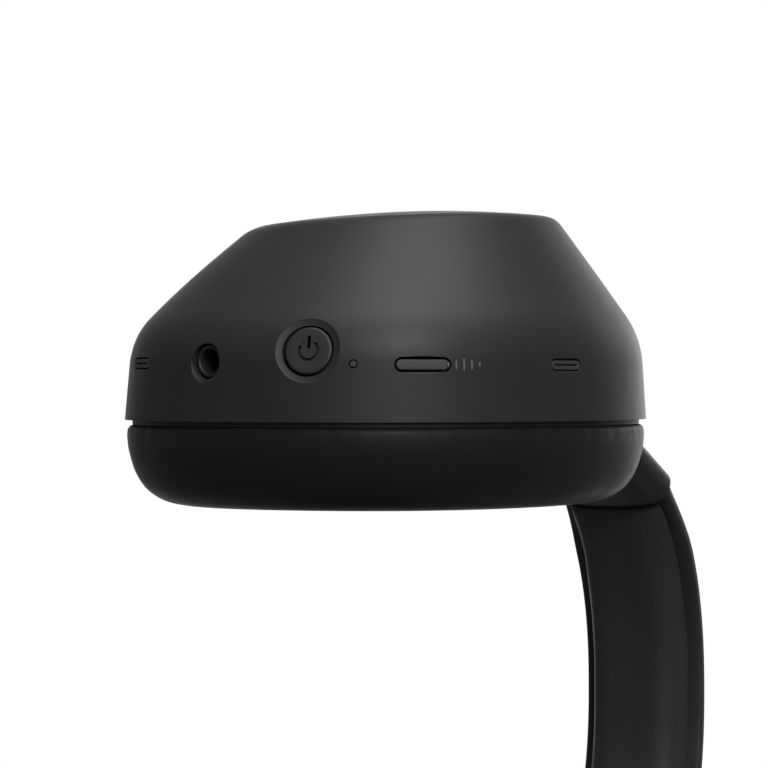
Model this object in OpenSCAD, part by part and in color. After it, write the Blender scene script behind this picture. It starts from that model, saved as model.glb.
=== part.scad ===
// Over-ear wireless headphones with folding, turning ear cups.
// Upright as worn: +Z up, +X to the wearer's left, the wearer faces -Y.
// The origin is on the floor, midway between the two ear cups.

/* [Ear cup] */
// Height of the ear cup's rim
rim_height = 88; // [84:1:92]
// Width of the ear cup's rim, front to rear
rim_width = 76; // [72:1:80]
// Depth of the housing from its rim to the edge of its outer face
shell_depth = 30; // [28:0.5:32]
// Height of the oval outer face
face_height = 51.4; // [48:0.2:56]
// Width of the oval outer face
face_width = 44.4; // [42:0.2:48]
// How far the outer face sits to the rear of the middle
face_shift_rear = 2.2; // [0:0.1:4]
// How far the outer face sits above the middle
face_shift_up = 1; // [0:0.1:3]
// Crown of the outer face
face_crown = 1.4; // [0.6:0.1:2.4]
// Wall of the moulded housing
shell_wall = 2; // [1.6:0.1:2.2]
// Depth of the steep wall beside the rim
wall_depth = 12.5; // [12:0.1:13.5]

/* [Ear cushion] */
// Thickness of the ear cushion
cushion_depth = 12.3; // [10:0.1:14]
// Width of the cushion's ring
cushion_ring = 16; // [14:0.5:17]
// Seam between housing and cushion
seam_gap = 0.7; // [0.5:0.1:1]

/* [Headband] */
// Height of the band's middle line above the ear cup's middle
band_rise = 109.5; // [108:0.5:114]
// Half of the arch's widest span, at its middle line
band_half_span = 54.5; // [54:0.5:56]
// Height of the arch's curved part
band_arch = 75; // [73:1:79]
// Fullness of the arch, where 2 is an ellipse
band_fullness = 2.3; // [2.25:0.05:2.4]
// Lean of the straight legs, outward going down
leg_lean = 28; // [27:0.5:28.5]
// Width of the headband
band_width = 22; // [20:0.5:24]
// Thickness of the headband's cover over the spring
cover_thick = 3.6; // [3:0.1:4.2]
// Thickness of the pad under the crown
pad_thick = 6; // [4:0.2:8]

/* [Hinge and slider] */
// Height of the fold pin above the ear cup's middle
pin_rise = 55; // [54:0.5:57]
// Distance of the swivel axis outward of the seam
swivel_offset = 7.6; // [7.4:0.1:8]
// Radius of the fold hinge's round cheeks
knuckle_r = 5; // [4.6:0.1:5.2]
// Radius of the fold pin
pin_r = 1.5; // [1.2:0.1:1.8]
// Travel of each slider
slider_travel = 26; // [22:1:28]
// Width of the steel slider stem
stem_width = 10; // [9:0.5:11]
// Thickness of the steel slider stem
stem_thick = 1.6; // [1.2:0.1:1.8]
// Radius of the swivel spindle
spindle_r = 3; // [2.6:0.1:3.2]

/* [Controls and inlets] */
// Diameter of the power button
power_d = 6.9; // [6.4:0.1:7.4]
// Length of the noise-control button
mode_length = 7.6; // [7:0.1:8.4]
// Width of the noise-control button
mode_width = 1.5; // [1.3:0.1:1.8]
// Gap round each button
button_gap = 0.3; // [0.25:0.05:0.4]
// Travel of each button
button_travel = 0.5; // [0.3:0.1:0.6]
// Bore of the 3.5 mm jack
jack_bore = 3.6; // [3.5:0.05:3.7]
// Depth of the jack's bore
jack_depth = 14; // [13:0.5:15]

/* [Hidden] */

// Facets round the lofts.
around = 56;
$fn = 48;
// Fullness of the rim's oval.
oval = 2.15;
// Clearance of a running fit, each side.
run = 0.04;
// Clearance between pieces that only lie beside each other.
beside = 0.3;

rim_u = rim_width / 2;
rim_v = rim_height / 2;
face_u = face_width / 2;
face_v = face_height / 2;
cup_z = rim_v;

// The arch's middle line.
arch_low = cup_z + band_rise - band_arch;
arch_power = band_fullness / (2 * (band_fullness - 1));
leg_t = atan(pow(tan(leg_lean) * band_arch / band_half_span, arch_power));
function arch_x(t) = band_half_span * pow(cos(t), 2 / band_fullness);
function arch_z(t) = arch_low + band_arch * pow(sin(t), 2 / band_fullness);
leg_x = arch_x(leg_t);
leg_z = arch_z(leg_t);

// The fold pin lies on the leg's line, and the swivel axis is right below it.
pin_z = cup_z + pin_rise;
pin_x = leg_x + (leg_z - pin_z) * tan(leg_lean);
leg_length = (leg_z - pin_z) / cos(leg_lean);
seam_x = pin_x - swivel_offset;
sleeve_end = leg_length - knuckle_r - 5.2;
// The stem stays in its guide by this much when it is fully out.
engaged = 8;
// The sleeve ends just above the pushed-in stem.
sleeve_top = slider_travel + engaged - sleeve_end + 1;

// A place in an ear cup: x runs to the rear, y up and z outward from the rim.
module in_cup() {
    translate([seam_x, 0, cup_z]) rotate([90, 0, 90]) children();
}

// A place on a leg: x runs outward across it, y to the rear and z up along it to its top.
module on_leg() {
    translate([leg_x, 0, leg_z]) rotate([0, -leg_lean, 0]) children();
}

// A left piece, or its mirror image on the right.
module side(hand) {
    mirror([hand < 0 ? 1 : 0, 0, 0]) children();
}

// ---- Ear cup outline and profile ----

function spow(x, p) = sign(x) * pow(abs(x), p);
function oval_point(a, ru, rv) = [ru * spow(cos(a), 2 / oval), rv * spow(sin(a), 2 / oval)];
function mix(a, b, q) = a + (b - a) * q;

// The outline at share q of the way from the rim to the outer face, drawn in by inset.
function outline(a, q, inset) =
    oval_point(a, mix(rim_u, face_u, q) - inset, mix(rim_v, face_v, q) - inset)
    + q * [face_shift_rear, face_shift_up];

module oval_2d(inset, q = 0, steps = 96) {
    polygon([for (i = [0 : steps - 1]) outline(i * 360 / steps, q, inset)]);
}

// The outer face tips up towards the upper rear.
face_tip = 2.4;
tip_aim = 26;
function tipped(p, q) = q * tan(face_tip) * (p[0] * cos(tip_aim) + p[1] * sin(tip_aim));

// The profile's corners, as share inward and height: foot, shoulder, edge of the face.
wall_draft = 4;
ring_run = rim_u - face_u;
shoulder_q = wall_depth * tan(wall_draft) / ring_run;
foot = [0, 0];
shoulder = [shoulder_q, wall_depth];
face_edge = [1, shell_depth];

function toward(a, b, mm) =
    a + (b - a) * mm / norm([(b[0] - a[0]) * ring_run, b[1] - a[1]]);
function bend(a, b, c, s) = (1 - s) * (1 - s) * a + 2 * s * (1 - s) * b + s * s * c;
shoulder_in = toward(shoulder, foot, 4.2);
shoulder_out = toward(shoulder, face_edge, 4.2);
edge_in = toward(face_edge, shoulder, 1.6);
edge_out = face_edge + [1.6 / ring_run, 0.1];

// Outer profile with n steps in its round shoulder and m in the edge of the face.
function profile(n, m) = concat(
    [foot, mix(foot, shoulder_in, 0.5)],
    [for (i = [0 : n]) bend(shoulder_in, shoulder, shoulder_out, i / n)],
    [mix(shoulder_out, edge_in, 0.5)],
    [for (i = [0 : m]) bend(edge_in, face_edge, edge_out, i / m)]
);

// Height of the crowned outer face at share f of its radius.
function face_h(f) = shell_depth + 0.1 + face_crown * (1 - f * f);

function lift(p, h, q) = [p[0], p[1], h + tipped(p, q)];

// Rings of the outer skin, then of the crowned face.
function skin_rings(rows, inset, drop) = [
    for (r = rows)
        [for (i = [0 : around - 1])
            let (q = min(r[0], 1), p = outline(i * 360 / around, r[0], inset))
            lift(p, r[1] - drop * q, q)]
];
function crown_rings(shares, inset, drop) = [
    for (f = shares)
        [for (i = [0 : around - 1])
            let (p = [face_shift_rear, face_shift_up] * (1 - f)
                + f * outline(i * 360 / around, edge_out[0], inset))
            lift(p, face_h(f) - drop, 1)]
];

// Faces between ring a and ring b of a stack, and a fan to one point.
function band_faces(a, b, n) = [
    for (i = [0 : n - 1]) let (j = (i + 1) % n)
        each [[a * n + i, b * n + i, b * n + j], [a * n + i, b * n + j, a * n + j]]
];
function fan_faces(a, tip, n) = [for (i = [0 : n - 1]) [a * n + i, tip, a * n + (i + 1) % n]];
function flipped(faces) = [for (f = faces) [f[2], f[1], f[0]]];

// A hollow cap: rings up the outside to a point, rings up the inside to a point.
module hollow_cap(outer, inner) {
    n = len(outer[0]);
    no = len(outer);
    ni = len(inner);
    top = [face_shift_rear, face_shift_up];
    outer_tip = lift(top, face_h(0), 1);
    inner_tip = lift(top, face_h(0) - shell_wall, 1);
    points = concat([for (r = outer) each r], [for (r = inner) each r], [outer_tip, inner_tip]);
    tips = (no + ni) * n;
    outside = concat(
        [for (k = [0 : no - 2]) each band_faces(k, k + 1, n)],
        fan_faces(no - 1, tips, n)
    );
    inside = concat(
        [for (k = [0 : ni - 2]) each band_faces(no + k, no + k + 1, n)],
        fan_faces(no + ni - 1, tips + 1, n)
    );
    polyhedron(points, concat(outside, flipped(inside), flipped(band_faces(0, no, n))));
}

// ---- Places on the housing's wall ----

// Angle round the rim, from the rear over the top, and height from the rim.
jack_at = [258, 8.6];
power_at = [280.5, 10.3];
led_at = [290.5, 8.2];
mode_at = [305.5, 8.1];
front_mic_at = [232, 8.4];
rear_mic_at = [341.5, 8.1];
charge_at = [271, 8.4];
// The power button leans with the round shoulder that it sits on.
power_lean = 15;

function wall_q(h) = shoulder_q * h / wall_depth;
function wall_point(at) = outline(at[0], wall_q(at[1]), 0);
function wall_turn(at) =
    let (a = outline(at[0] - 1, wall_q(at[1]), 0), b = outline(at[0] + 1, wall_q(at[1]), 0))
    atan2(b[1] - a[1], b[0] - a[0]) - 90;

// z runs out of the wall, y outward from the rim and x along the wall.
module on_wall(at, lean = wall_draft) {
    p = wall_point(at);
    translate([p[0], p[1], at[1]]) rotate([0, 0, wall_turn(at)])
        rotate([0, -lean, 0]) rotate([90, 0, 90]) children();
}

module pill(length, width) {
    reach = (length - width) / 2;
    square([2 * reach, width], center = true);
    for (x = [-reach, reach]) translate([x, 0]) circle(d = width);
}

// ---- Housing ----

power_dish_r = power_d / 2 + 1.15;
power_sink = 0.8;
pocket_depth = 1.25;
power_hole_r = power_d / 2 + button_gap;
mode_hole = [mode_length + 2 * button_gap, mode_width + 2 * button_gap];
led_d = 1.1;
mic_size = [7, 1.7];
jack_face_d = 5.2;
charge_size = [9, 3.3];
neck_r = 4.4;
neck_hole = [neck_r + 1.9, neck_r + 0.5];

module shell_body() {
    hollow_cap(
        concat(skin_rings(profile(5, 3), 0, 0), crown_rings([0.75, 0.4], 0, 0)),
        concat(skin_rings(profile(2, 1), shell_wall, shell_wall), crown_rings([0.6], shell_wall, shell_wall))
    );
}

// Opening in the top of the wall for the hinge arm's neck, long enough for the tilt.
module neck_opening() {
    translate([0, rim_v - 8, swivel_offset]) rotate([-90, 0, 0])
        linear_extrude(20) rotate(90) pill(2 * neck_hole[0], 2 * neck_hole[1]);
}

module mic_holes() {
    for (at = [front_mic_at, rear_mic_at])
        on_wall(at) translate([0, 0, -4]) linear_extrude(6) pill(mic_size[0], mic_size[1]);
}

module shell_left() {
    color("#1c1c1d") in_cup() difference() {
        shell_body();
        neck_opening();
        mic_holes();
        on_wall(power_at, power_lean) {
            translate([0, 0, -6]) cylinder(r = power_hole_r, h = 9);
            translate([0, 0, -pocket_depth]) cylinder(r1 = power_dish_r - 0.6, r2 = power_dish_r + 0.3, h = 1.8);
        }
        on_wall(mode_at) translate([0, 0, -4]) linear_extrude(6) pill(mode_hole[0], mode_hole[1]);
        on_wall(led_at) translate([0, 0, -4]) cylinder(d = led_d + 0.1, h = 6, $fn = 24);
        on_wall(jack_at, 0) translate([0, 0, -5]) cylinder(d = jack_face_d, h = 8);
    }
}

module shell_right() {
    color("#1c1c1d") side(-1) in_cup() difference() {
        shell_body();
        neck_opening();
        mic_holes();
        on_wall(charge_at, 0) translate([0, 0, -4]) linear_extrude(6) pill(charge_size[0], charge_size[1]);
    }
}

// ---- Baffle, cushion plate and bracket ----

driver_d = 40;
plate_inset = 1.1;
plug_inset = shell_wall + beside;
plug_top = 2;
board_h = 15.5;
post_spots = [[-20, -17], [20, -17], [-20, 14], [20, 14]];
screw_spots = [[-24.5, -22], [24.5, -22], [-24.5, 22], [24.5, 22]];

module baffle() {
    color("#131314") in_cup() difference() {
        union() {
            translate([0, 0, -seam_gap]) linear_extrude(seam_gap) oval_2d(plate_inset);
            linear_extrude(plug_top) oval_2d(plug_inset);
            for (p = post_spots) translate([p[0], p[1], plug_top]) cylinder(r = 2.2, h = board_h - plug_top);
        }
        translate([0, 0, -3]) cylinder(d = driver_d - 4, h = 10);
        for (p = screw_spots) translate([p[0], p[1], -3]) cylinder(r = 1.2, h = 8, $fn = 24);
    }
}

// Screws that hold the baffle, with their heads under the cushion's plate.
module baffle_screws() {
    color("silver") in_cup()
        for (p = screw_spots) translate([p[0], p[1], 0]) {
            translate([0, 0, plug_top]) cylinder(r = 2, h = 1.2, $fn = 24);
            translate([0, 0, -seam_gap + 0.1]) cylinder(r = 1.1, h = plug_top + seam_gap, $fn = 24);
        }
}

// Ring that clips the cushion to the baffle.
plate_thick = 1.2;
open_inset = cushion_ring;
module cushion_plate() {
    color("#18181a") in_cup() translate([0, 0, -seam_gap - plate_thick]) linear_extrude(plate_thick)
        difference() {
            oval_2d(4);
            oval_2d(open_inset - 1);
        }
}

// Scrim over the sound outlet, at the bottom of the ear's hollow.
mesh_thick = 0.8;
module ear_mesh() {
    color("#0f0f10") in_cup() translate([0, 0, -seam_gap - mesh_thick])
        linear_extrude(mesh_thick) oval_2d(open_inset - 0.7);
}

// ---- Ear cushion ----

cushion_inset = 0.45;
cushion_face = cushion_depth + seam_gap;
cushion_round = 9.5;

// One section across the cushion's ring, as inset from the rim and height.
function arc_points(c, r, from, to, n) =
    [for (i = [0 : n]) let (a = mix(from, to, i / n)) c + r * [cos(a), sin(a)]];
cushion_section = concat(
    [[4 - beside, -seam_gap - plate_thick - 0.1], [4 - beside, -seam_gap]],
    [[cushion_inset + 0.6, -seam_gap], [cushion_inset, -seam_gap - 0.8]],
    arc_points([cushion_inset + cushion_round * 0.8, -cushion_face + cushion_round * 0.85],
        cushion_round * 0.8, 180, 262, 5),
    [[cushion_inset + cushion_ring * 0.62, -cushion_face + 0.05]],
    arc_points([cushion_ring - 4.2, -cushion_face + 4.6], 4.4, 285, 375, 3),
    [[cushion_ring - 0.4, -seam_gap - plate_thick - 0.1]]
);

module ear_cushion() {
    rows = cushion_section;
    n = 72;
    m = len(rows);
    points = [
        for (r = rows) each [for (i = [0 : n - 1])
            let (p = outline(i * 360 / n, 0, r[0])) [p[0], p[1], r[1]]]
    ];
    faces = [for (k = [0 : m - 1]) each band_faces(k, (k + 1) % m, n)];
    color("#171718") in_cup() polyhedron(points, flipped(faces));
}

// ---- Driver ----

basket_h = 4.2;
module driver_frame() {
    color("#202022") in_cup() translate([0, 0, plug_top]) difference() {
        union() {
            cylinder(d = driver_d, h = 1.4);
            cylinder(d = driver_d - 8, h = basket_h);
        }
        translate([0, 0, -1]) cylinder(d = driver_d - 11, h = basket_h - 0.2);
        for (a = [0 : 60 : 300]) rotate(a) translate([12.3, 0, 0]) cylinder(d = 4, h = 12);
    }
}

module driver_magnet() {
    color("silver") in_cup() translate([0, 0, plug_top + basket_h]) {
        cylinder(d = 19, h = 3);
        translate([0, 0, 3]) cylinder(d = 16, h = 2);
    }
}

module diaphragm() {
    color("#2c2c30") in_cup() translate([0, 0, 0.8]) rotate_extrude($fn = 64) polygon(concat(
        [for (i = [0 : 8]) [2 * i, 1.4 * cos(i * 10)]],
        [[17.8, 1.2], [17.8, 0.8]],
        [for (i = [8 : -1 : 0]) [2 * i, 1.4 * cos(i * 10) - 0.4]]
    ));
}

// ---- Hanger, bracket and hinge arm ----

tilt_y = rim_v - 10.5;
hanger_w = 13;
hanger_t = 9;
hanger_h = 8;
trunnion_r = 2;
trunnion_l = 3;
bracket_wall = 4;

// Block that turns on the spindle and carries the cup on two trunnions.
module hanger() {
    color("#3a3a3c") in_cup() translate([0, tilt_y, swivel_offset]) difference() {
        union() {
            cube([hanger_w, hanger_h, hanger_t], center = true);
            rotate([0, 90, 0]) cylinder(r = trunnion_r, h = hanger_w + 2 * trunnion_l, center = true);
        }
        rotate([90, 0, 0]) cylinder(r = spindle_r + run, h = 30, center = true);
    }
}

// Bracket on the baffle with a bore for each trunnion.
module pivot_bracket() {
    inner = hanger_w / 2 + beside;
    low = plug_top;
    high = swivel_offset + trunnion_r + 2;
    color("#2a2a2c") in_cup() difference() {
        for (s = [-1, 1])
            translate([s * (inner + bracket_wall / 2), tilt_y - 1, (low + high) / 2])
                cube([bracket_wall, 8, high - low], center = true);
        translate([0, tilt_y, swivel_offset]) rotate([0, 90, 0])
            cylinder(r = trunnion_r + run, h = 60, center = true);
    }
}

cheek_in = 4.2;
cheek_out = 7.6;
tongue_w = 2 * (cheek_in - 0.2);
neck_top = cup_z + rim_v + 4;
spindle_top = cup_z + tilt_y + hanger_h / 2 + beside;
spindle_low = cup_z + tilt_y - hanger_h / 2 - 2.2;
clip_thick = 0.9;

// Forked arm: two round cheeks, a neck and the swivel spindle below it.
module fold_arm() {
    color("#2b2b2d") difference() {
        union() {
            intersection() {
                translate([pin_x, 0, pin_z]) rotate([90, 0, 0]) linear_extrude(2 * cheek_out, center = true) {
                    circle(r = knuckle_r, $fn = 64);
                    polygon([[-knuckle_r, 0], [knuckle_r, 0], [neck_r, neck_top - pin_z - 0.01],
                        [-neck_r, neck_top - pin_z - 0.01]]);
                }
                translate([pin_x - 20, 0, 0]) rotate([90, 0, 90]) linear_extrude(40)
                    polygon([[-cheek_out, pin_z + 8], [-cheek_out, pin_z - 1], [-neck_r - 0.6, neck_top - 0.01],
                        [neck_r + 0.6, neck_top - 0.01], [cheek_out, pin_z - 1], [cheek_out, pin_z + 8]]);
            }
            translate([pin_x, 0, spindle_top]) cylinder(r = neck_r, h = neck_top - spindle_top);
            translate([pin_x, 0, spindle_low]) cylinder(r = spindle_r, h = spindle_top - spindle_low + 0.01);
        }
        translate([pin_x, 0, pin_z]) rotate([90, 0, 0])
            cylinder(r = knuckle_r + 0.35, h = 2 * cheek_in, center = true);
        translate([pin_x, 0, pin_z]) rotate([90, 0, 0]) cylinder(r = pin_r, h = 40, center = true);
        translate([pin_x, 0, spindle_low + 1]) difference() {
            cylinder(r = spindle_r + 1, h = clip_thick + 0.1);
            translate([0, 0, -1]) cylinder(r = spindle_r - 0.6, h = 4);
        }
    }
}

module fold_pin() {
    color("silver") translate([pin_x, 0, pin_z]) rotate([90, 0, 0])
        cylinder(r = pin_r, h = 2 * cheek_out - 0.6, center = true);
}

// Clip under the hanger, in the spindle's groove.
module spindle_clip() {
    color("silver") translate([pin_x, 0, spindle_low + 1.05]) difference() {
        cylinder(r = spindle_r + 1.6, h = clip_thick);
        translate([0, 0, -1]) cylinder(r = spindle_r - 0.55, h = 3);
        translate([-spindle_r + 0.8, 0, -1]) cube([2 * spindle_r - 1.6, 10, 3]);
    }
}

// ---- Slider ----

collar_w = 18;
collar_t = 8;
// The tongue is cut back here, so that the folded arm's bridge passes it.
tongue_relief = 2.2;
// The stem starts inside the collar, so its slot never breaks out below it.
stem_bottom = -leg_length + knuckle_r + 1.7;
tongue_foot = -leg_length + 2.4;
module hinge_tongue() {
    color("#2b2b2d") difference() {
        union() {
            translate([pin_x, 0, pin_z]) rotate([90, 0, 0])
                cylinder(r = knuckle_r - 0.2, h = tongue_w, center = true, $fn = 64);
            intersection() {
                on_leg() translate([-3.4, -tongue_w / 2, tongue_foot])
                    cube([6.8, tongue_w, -tongue_foot - sleeve_end - 0.5]);
                union() {
                    translate([pin_x - tongue_relief, -20, pin_z + 1]) cube(40);
                    translate([pin_x - 20, -20, pin_z + knuckle_r + 0.2]) cube(40);
                }
            }
            intersection() {
                on_leg() translate([-collar_t / 2, -collar_w / 2, -leg_length])
                    cube([collar_t, collar_w, leg_length - sleeve_end - 0.5]);
                translate([pin_x - 20, -20, pin_z + knuckle_r + 0.5]) cube([40, 40, 20]);
            }
        }
        translate([pin_x, 0, pin_z]) rotate([90, 0, 0]) cylinder(r = pin_r + run, h = 40, center = true);
        on_leg() translate([-stem_thick / 2, -stem_width / 2, stem_bottom])
            cube([stem_thick, stem_width, 30]);
    }
}

stem_top = -sleeve_end + slider_travel + engaged;
module slider_stem() {
    color("silver") on_leg() difference() {
        translate([-stem_thick / 2, -stem_width / 2, stem_bottom])
            cube([stem_thick, stem_width, stem_top - stem_bottom]);
        translate([0, 0, stem_bottom + 1.6]) rotate([0, 90, 0]) cylinder(r = 0.8, h = 10, center = true, $fn = 24);
    }
}

guide_w = stem_width + 2.4;
guide_t = stem_thick + 2.6;
sleeve_w = [17.6, band_width + 0.6];
sleeve_t = [8.6, 9.8];

module soft_rect(w, h, r) {
    square([w - 2 * r, h], center = true);
    square([w, h - 2 * r], center = true);
    for (x = [-1, 1]) for (y = [-1, 1]) translate([x * (w / 2 - r), y * (h / 2 - r)]) circle(r = r);
}

// Tapered sleeve at the end of the headband, hollow for the guide.
module end_sleeve() {
    low = -sleeve_end;
    color("#1b1b1c") on_leg() difference() {
        intersection() {
            translate([0, 0, low]) linear_extrude(sleeve_top - low) soft_rect(sleeve_t[1], sleeve_w[1], 3);
            rotate([90, 0, 90]) linear_extrude(30, center = true) polygon([
                [-sleeve_w[0] / 2, low], [sleeve_w[0] / 2, low],
                [sleeve_w[1] / 2, sleeve_top], [-sleeve_w[1] / 2, sleeve_top]]);
            rotate([90, 0, 0]) linear_extrude(40, center = true) polygon([
                [-sleeve_t[0] / 2, low], [sleeve_t[0] / 2, low],
                [sleeve_t[1] / 2, sleeve_top], [-sleeve_t[1] / 2, sleeve_top]]);
        }
        translate([-guide_t / 2 - 0.1, -guide_w / 2 - 0.1, low - 1])
            cube([guide_t + 0.2, guide_w + 0.2, sleeve_top - low]);
    }
}

// Plastic guide in the sleeve, with the slot that the stem slides in.
slide = 0.1;
module slider_guide() {
    low = -sleeve_end;
    color("#4a4a4a") on_leg() difference() {
        translate([-guide_t / 2, -guide_w / 2, low + 0.4]) cube([guide_t, guide_w, sleeve_top - low - 1.5]);
        translate([-stem_thick / 2 - slide, -stem_width / 2 - slide, low - 1])
            cube([stem_thick + 2 * slide, stem_width + 2 * slide, 60]);
    }
}

// ---- Headband ----

// The arch's frame at angle t: middle line and outward normal.
function arch_point(t) = [sign(cos(t)) * arch_x(acos(abs(cos(t)))), arch_z(t)];
function arch_normal(t) =
    let (p = 2 * (band_fullness - 1) / band_fullness,
        v = [sign(cos(t)) * pow(abs(cos(t)), p) / band_half_span, pow(sin(t), p) / band_arch])
    v / norm(v);

// The cover starts where the arch passes the sleeve's top, found by halving an angle's range.
function up_leg(t) =
    (leg_x - arch_point(t)[0]) * sin(leg_lean) + (arch_point(t)[1] - leg_z) * cos(leg_lean);
function angle_at(reach, low, high, n) =
    let (mid = (low + high) / 2)
    n == 0 ? mid : up_leg(mid) < reach ? angle_at(reach, mid, high, n - 1) : angle_at(reach, low, mid, n - 1);
arch_start = angle_at(sleeve_top + 0.35, leg_t, 80, 16);
band_steps = 48;
band_angles = [for (i = [0 : band_steps]) mix(arch_start, 180 - arch_start, i / band_steps)];
spring_t = 0.9;
spring_w = 16;

module headband_spring() {
    color("silver") rotate([90, 0, 0]) linear_extrude(spring_w, center = true) polygon(concat(
        [for (t = band_angles) arch_point(t) + spring_t / 2 * arch_normal(t)],
        [for (i = [band_steps : -1 : 0]) let (t = band_angles[i]) arch_point(t) - spring_t / 2 * arch_normal(t)]
    ));
}

// A solid swept along the arch; each section is a list of [height off the line, place across].
module arch_sweep(angles, sections) {
    n = len(sections[0]);
    last = len(angles) - 1;
    points = [
        for (k = [0 : last]) let (p = arch_point(angles[k]), d = arch_normal(angles[k]))
            each [for (s = sections[k]) [p[0] + s[0] * d[0], s[1], p[1] + s[0] * d[1]]]
    ];
    cap = [for (i = [0 : (n - 1) / 2 - 1]) each [[i, i + 1, n - 1 - i], [i + 1, n - 2 - i, n - 1 - i]]];
    ends = [for (f = cap) if (f[0] != f[1] && f[1] != f[2]) f];
    polyhedron(points, concat(
        flipped([for (k = [0 : last - 1]) each band_faces(k, k + 1, n)]),
        flipped(ends),
        [for (f = ends) [last * n + f[0], last * n + f[1], last * n + f[2]]]
    ));
}

module headband_cover() {
    w = band_width / 2;
    top = spring_t / 2 + cover_thick;
    low = spring_t / 2;
    half = [[low, w - 0.5], [mix(low, top, 0.2), w], [mix(low, top, 0.66), w * 0.95],
        [mix(low, top, 0.9), w * 0.8], [top, w * 0.42]];
    section = concat(half, [for (i = [len(half) - 1 : -1 : 0]) [half[i][0], -half[i][1]]]);
    color("#161616") arch_sweep(band_angles, [for (t = band_angles) section]);
}

// Soft pad under the crown, drawn in at its sides and thinning to its ends.
pad_steps = 32;
pad_start = arch_start + 1.5;
module headband_cushion() {
    w = band_width / 2 - 1.7;
    top = -spring_t / 2 - 0.05;
    angles = [for (i = [0 : pad_steps]) mix(pad_start, 180 - pad_start, i / pad_steps)];
    sections = [
        for (i = [0 : pad_steps])
            let (rise = pow(sin(180 * i / pad_steps), 0.5), d = mix(1.6, pad_thick, rise),
                full = w * mix(0.9, 1, rise),
                half = [[top, full - 1.2], [top - 0.3 * d, full], [top - 0.6 * d, full - 0.5],
                    [top - 0.86 * d, full * 0.78], [top - d, full * 0.4]])
            concat([for (k = [0 : 4]) [half[k][0], -half[k][1]]], [for (k = [4 : -1 : 0]) half[k]])
    ];
    color("#1a1a1a") arch_sweep(angles, sections);
}

// ---- Controls and inlets of the left cup ----

flange = 0.9;
flange_t = 0.6;
board_in = 7.4;
switch_h = 1.2;
// The stems end above the switches by the travel and a little more.
stem_end = -board_in + switch_h + button_travel + 0.1;
power_behind = 4.1;
mode_behind = 2.7;

// A button's cap in the wall, with a flange behind the wall and a stem to its switch.
module power_button() {
    color("#2a2a2b") in_cup() on_wall(power_at, power_lean) {
        translate([0, 0, -power_behind]) cylinder(d = power_d, h = power_behind - power_sink);
        translate([0, 0, -power_behind - flange_t]) cylinder(d = power_d + 2 * flange, h = flange_t);
        translate([0, 0, stem_end]) cylinder(d = 2, h = -power_behind - stem_end);
    }
}

module mode_button() {
    color("#3c3c3c") in_cup() on_wall(mode_at) {
        translate([0, 0, -mode_behind]) linear_extrude(mode_behind - 0.3) pill(mode_length, mode_width);
        translate([0, 0, -mode_behind - flange_t]) linear_extrude(flange_t)
            pill(mode_length + 2 * flange, mode_width + 2 * flange);
        translate([0, 0, stem_end]) cylinder(d = 1.4, h = -mode_behind - stem_end);
    }
}

// A tactile switch behind each button, on a small board that stands on the baffle.
switch_board = [9, 22, 1];
switch_room = 12;
switch_d = 4;
module button_switch(at, lean) {
    intersection() {
        on_wall(at, lean) {
            translate([0, -1, -board_in - switch_board[2]]) linear_extrude(switch_board[2])
                square([switch_board[0], switch_board[1]], center = true);
            translate([0, 0, -board_in]) cylinder(d = switch_d, h = switch_h - 0.3);
            translate([0, 0, -board_in]) cylinder(d = switch_d * 0.45, h = switch_h, $fn = 24);
        }
        translate([0, 0, plug_top + switch_room / 2])
            cube([rim_width, rim_height, switch_room], center = true);
    }
}

module button_switches() {
    color("silver") in_cup() {
        button_switch(power_at, power_lean);
        button_switch(mode_at, wall_draft);
    }
}

led_behind = 4;
module led_window() {
    color("#d8d8d8") in_cup() on_wall(led_at) translate([0, 0, -led_behind])
        cylinder(d = led_d, h = led_behind - 0.1, $fn = 24);
}

mic_behind = 2.4;
mic_sink = 0.5;
module microphones() {
    color("#101010") in_cup() for (at = [front_mic_at, rear_mic_at])
        on_wall(at) translate([0, 0, -mic_behind]) linear_extrude(mic_behind - mic_sink)
            pill(mic_size[0] - 0.2, mic_size[1] - 0.2);
}

// The jack's body stands on the baffle, and its barrel fills the hole in the wall.
barrel = 4.4;
jack_side = 3.5;
module jack_socket() {
    color("#0e0e0e") in_cup() on_wall(jack_at, 0) difference() {
        union() {
            translate([0, 0, -barrel]) cylinder(d = jack_face_d - 0.2, h = barrel - 0.9);
            translate([-jack_side, plug_top - jack_at[1], -jack_depth - 2])
                cube([2 * jack_side, jack_at[1] - plug_top + 3, jack_depth + 2 - barrel + 0.01]);
        }
        translate([0, 0, -jack_depth - 0.9]) cylinder(d = jack_bore, h = jack_depth + 2);
    }
}

board_size = [46, 37];
module circuit_board() {
    chips = [[-8, 3, 9, 1.1], [6, -6, 7, 1], [-4, -9, 5, 1.4], [9, 7, 4, 1.2]];
    color("#20402c") in_cup() translate([0, -1.5, board_h]) {
        linear_extrude(1.2) soft_rect(board_size[0], board_size[1], 4);
        for (c = chips) translate([c[0], c[1], 1.2 + c[3] / 2]) cube([c[2], c[2], c[3]], center = true);
    }
}

// ---- Battery and charging inlet of the right cup ----

module battery() {
    color("#8f98a0") side(-1) in_cup() translate([0, -1.5, board_h]) linear_extrude(4.6)
        soft_rect(board_size[0] - 3, board_size[1] - 3, 2);
}

// Steel shell of the charging inlet, on its board, which stands on the baffle.
charge_in = 8.4;
module charge_socket() {
    color("silver") side(-1) in_cup() on_wall(charge_at, 0) difference() {
        translate([0, 0, -charge_in]) linear_extrude(charge_in - 0.9)
            pill(charge_size[0] - 0.2, charge_size[1] - 0.2);
        translate([0, 0, -charge_in + 1]) linear_extrude(charge_in) pill(charge_size[0] - 0.9, charge_size[1] - 0.9);
    }
}

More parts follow.
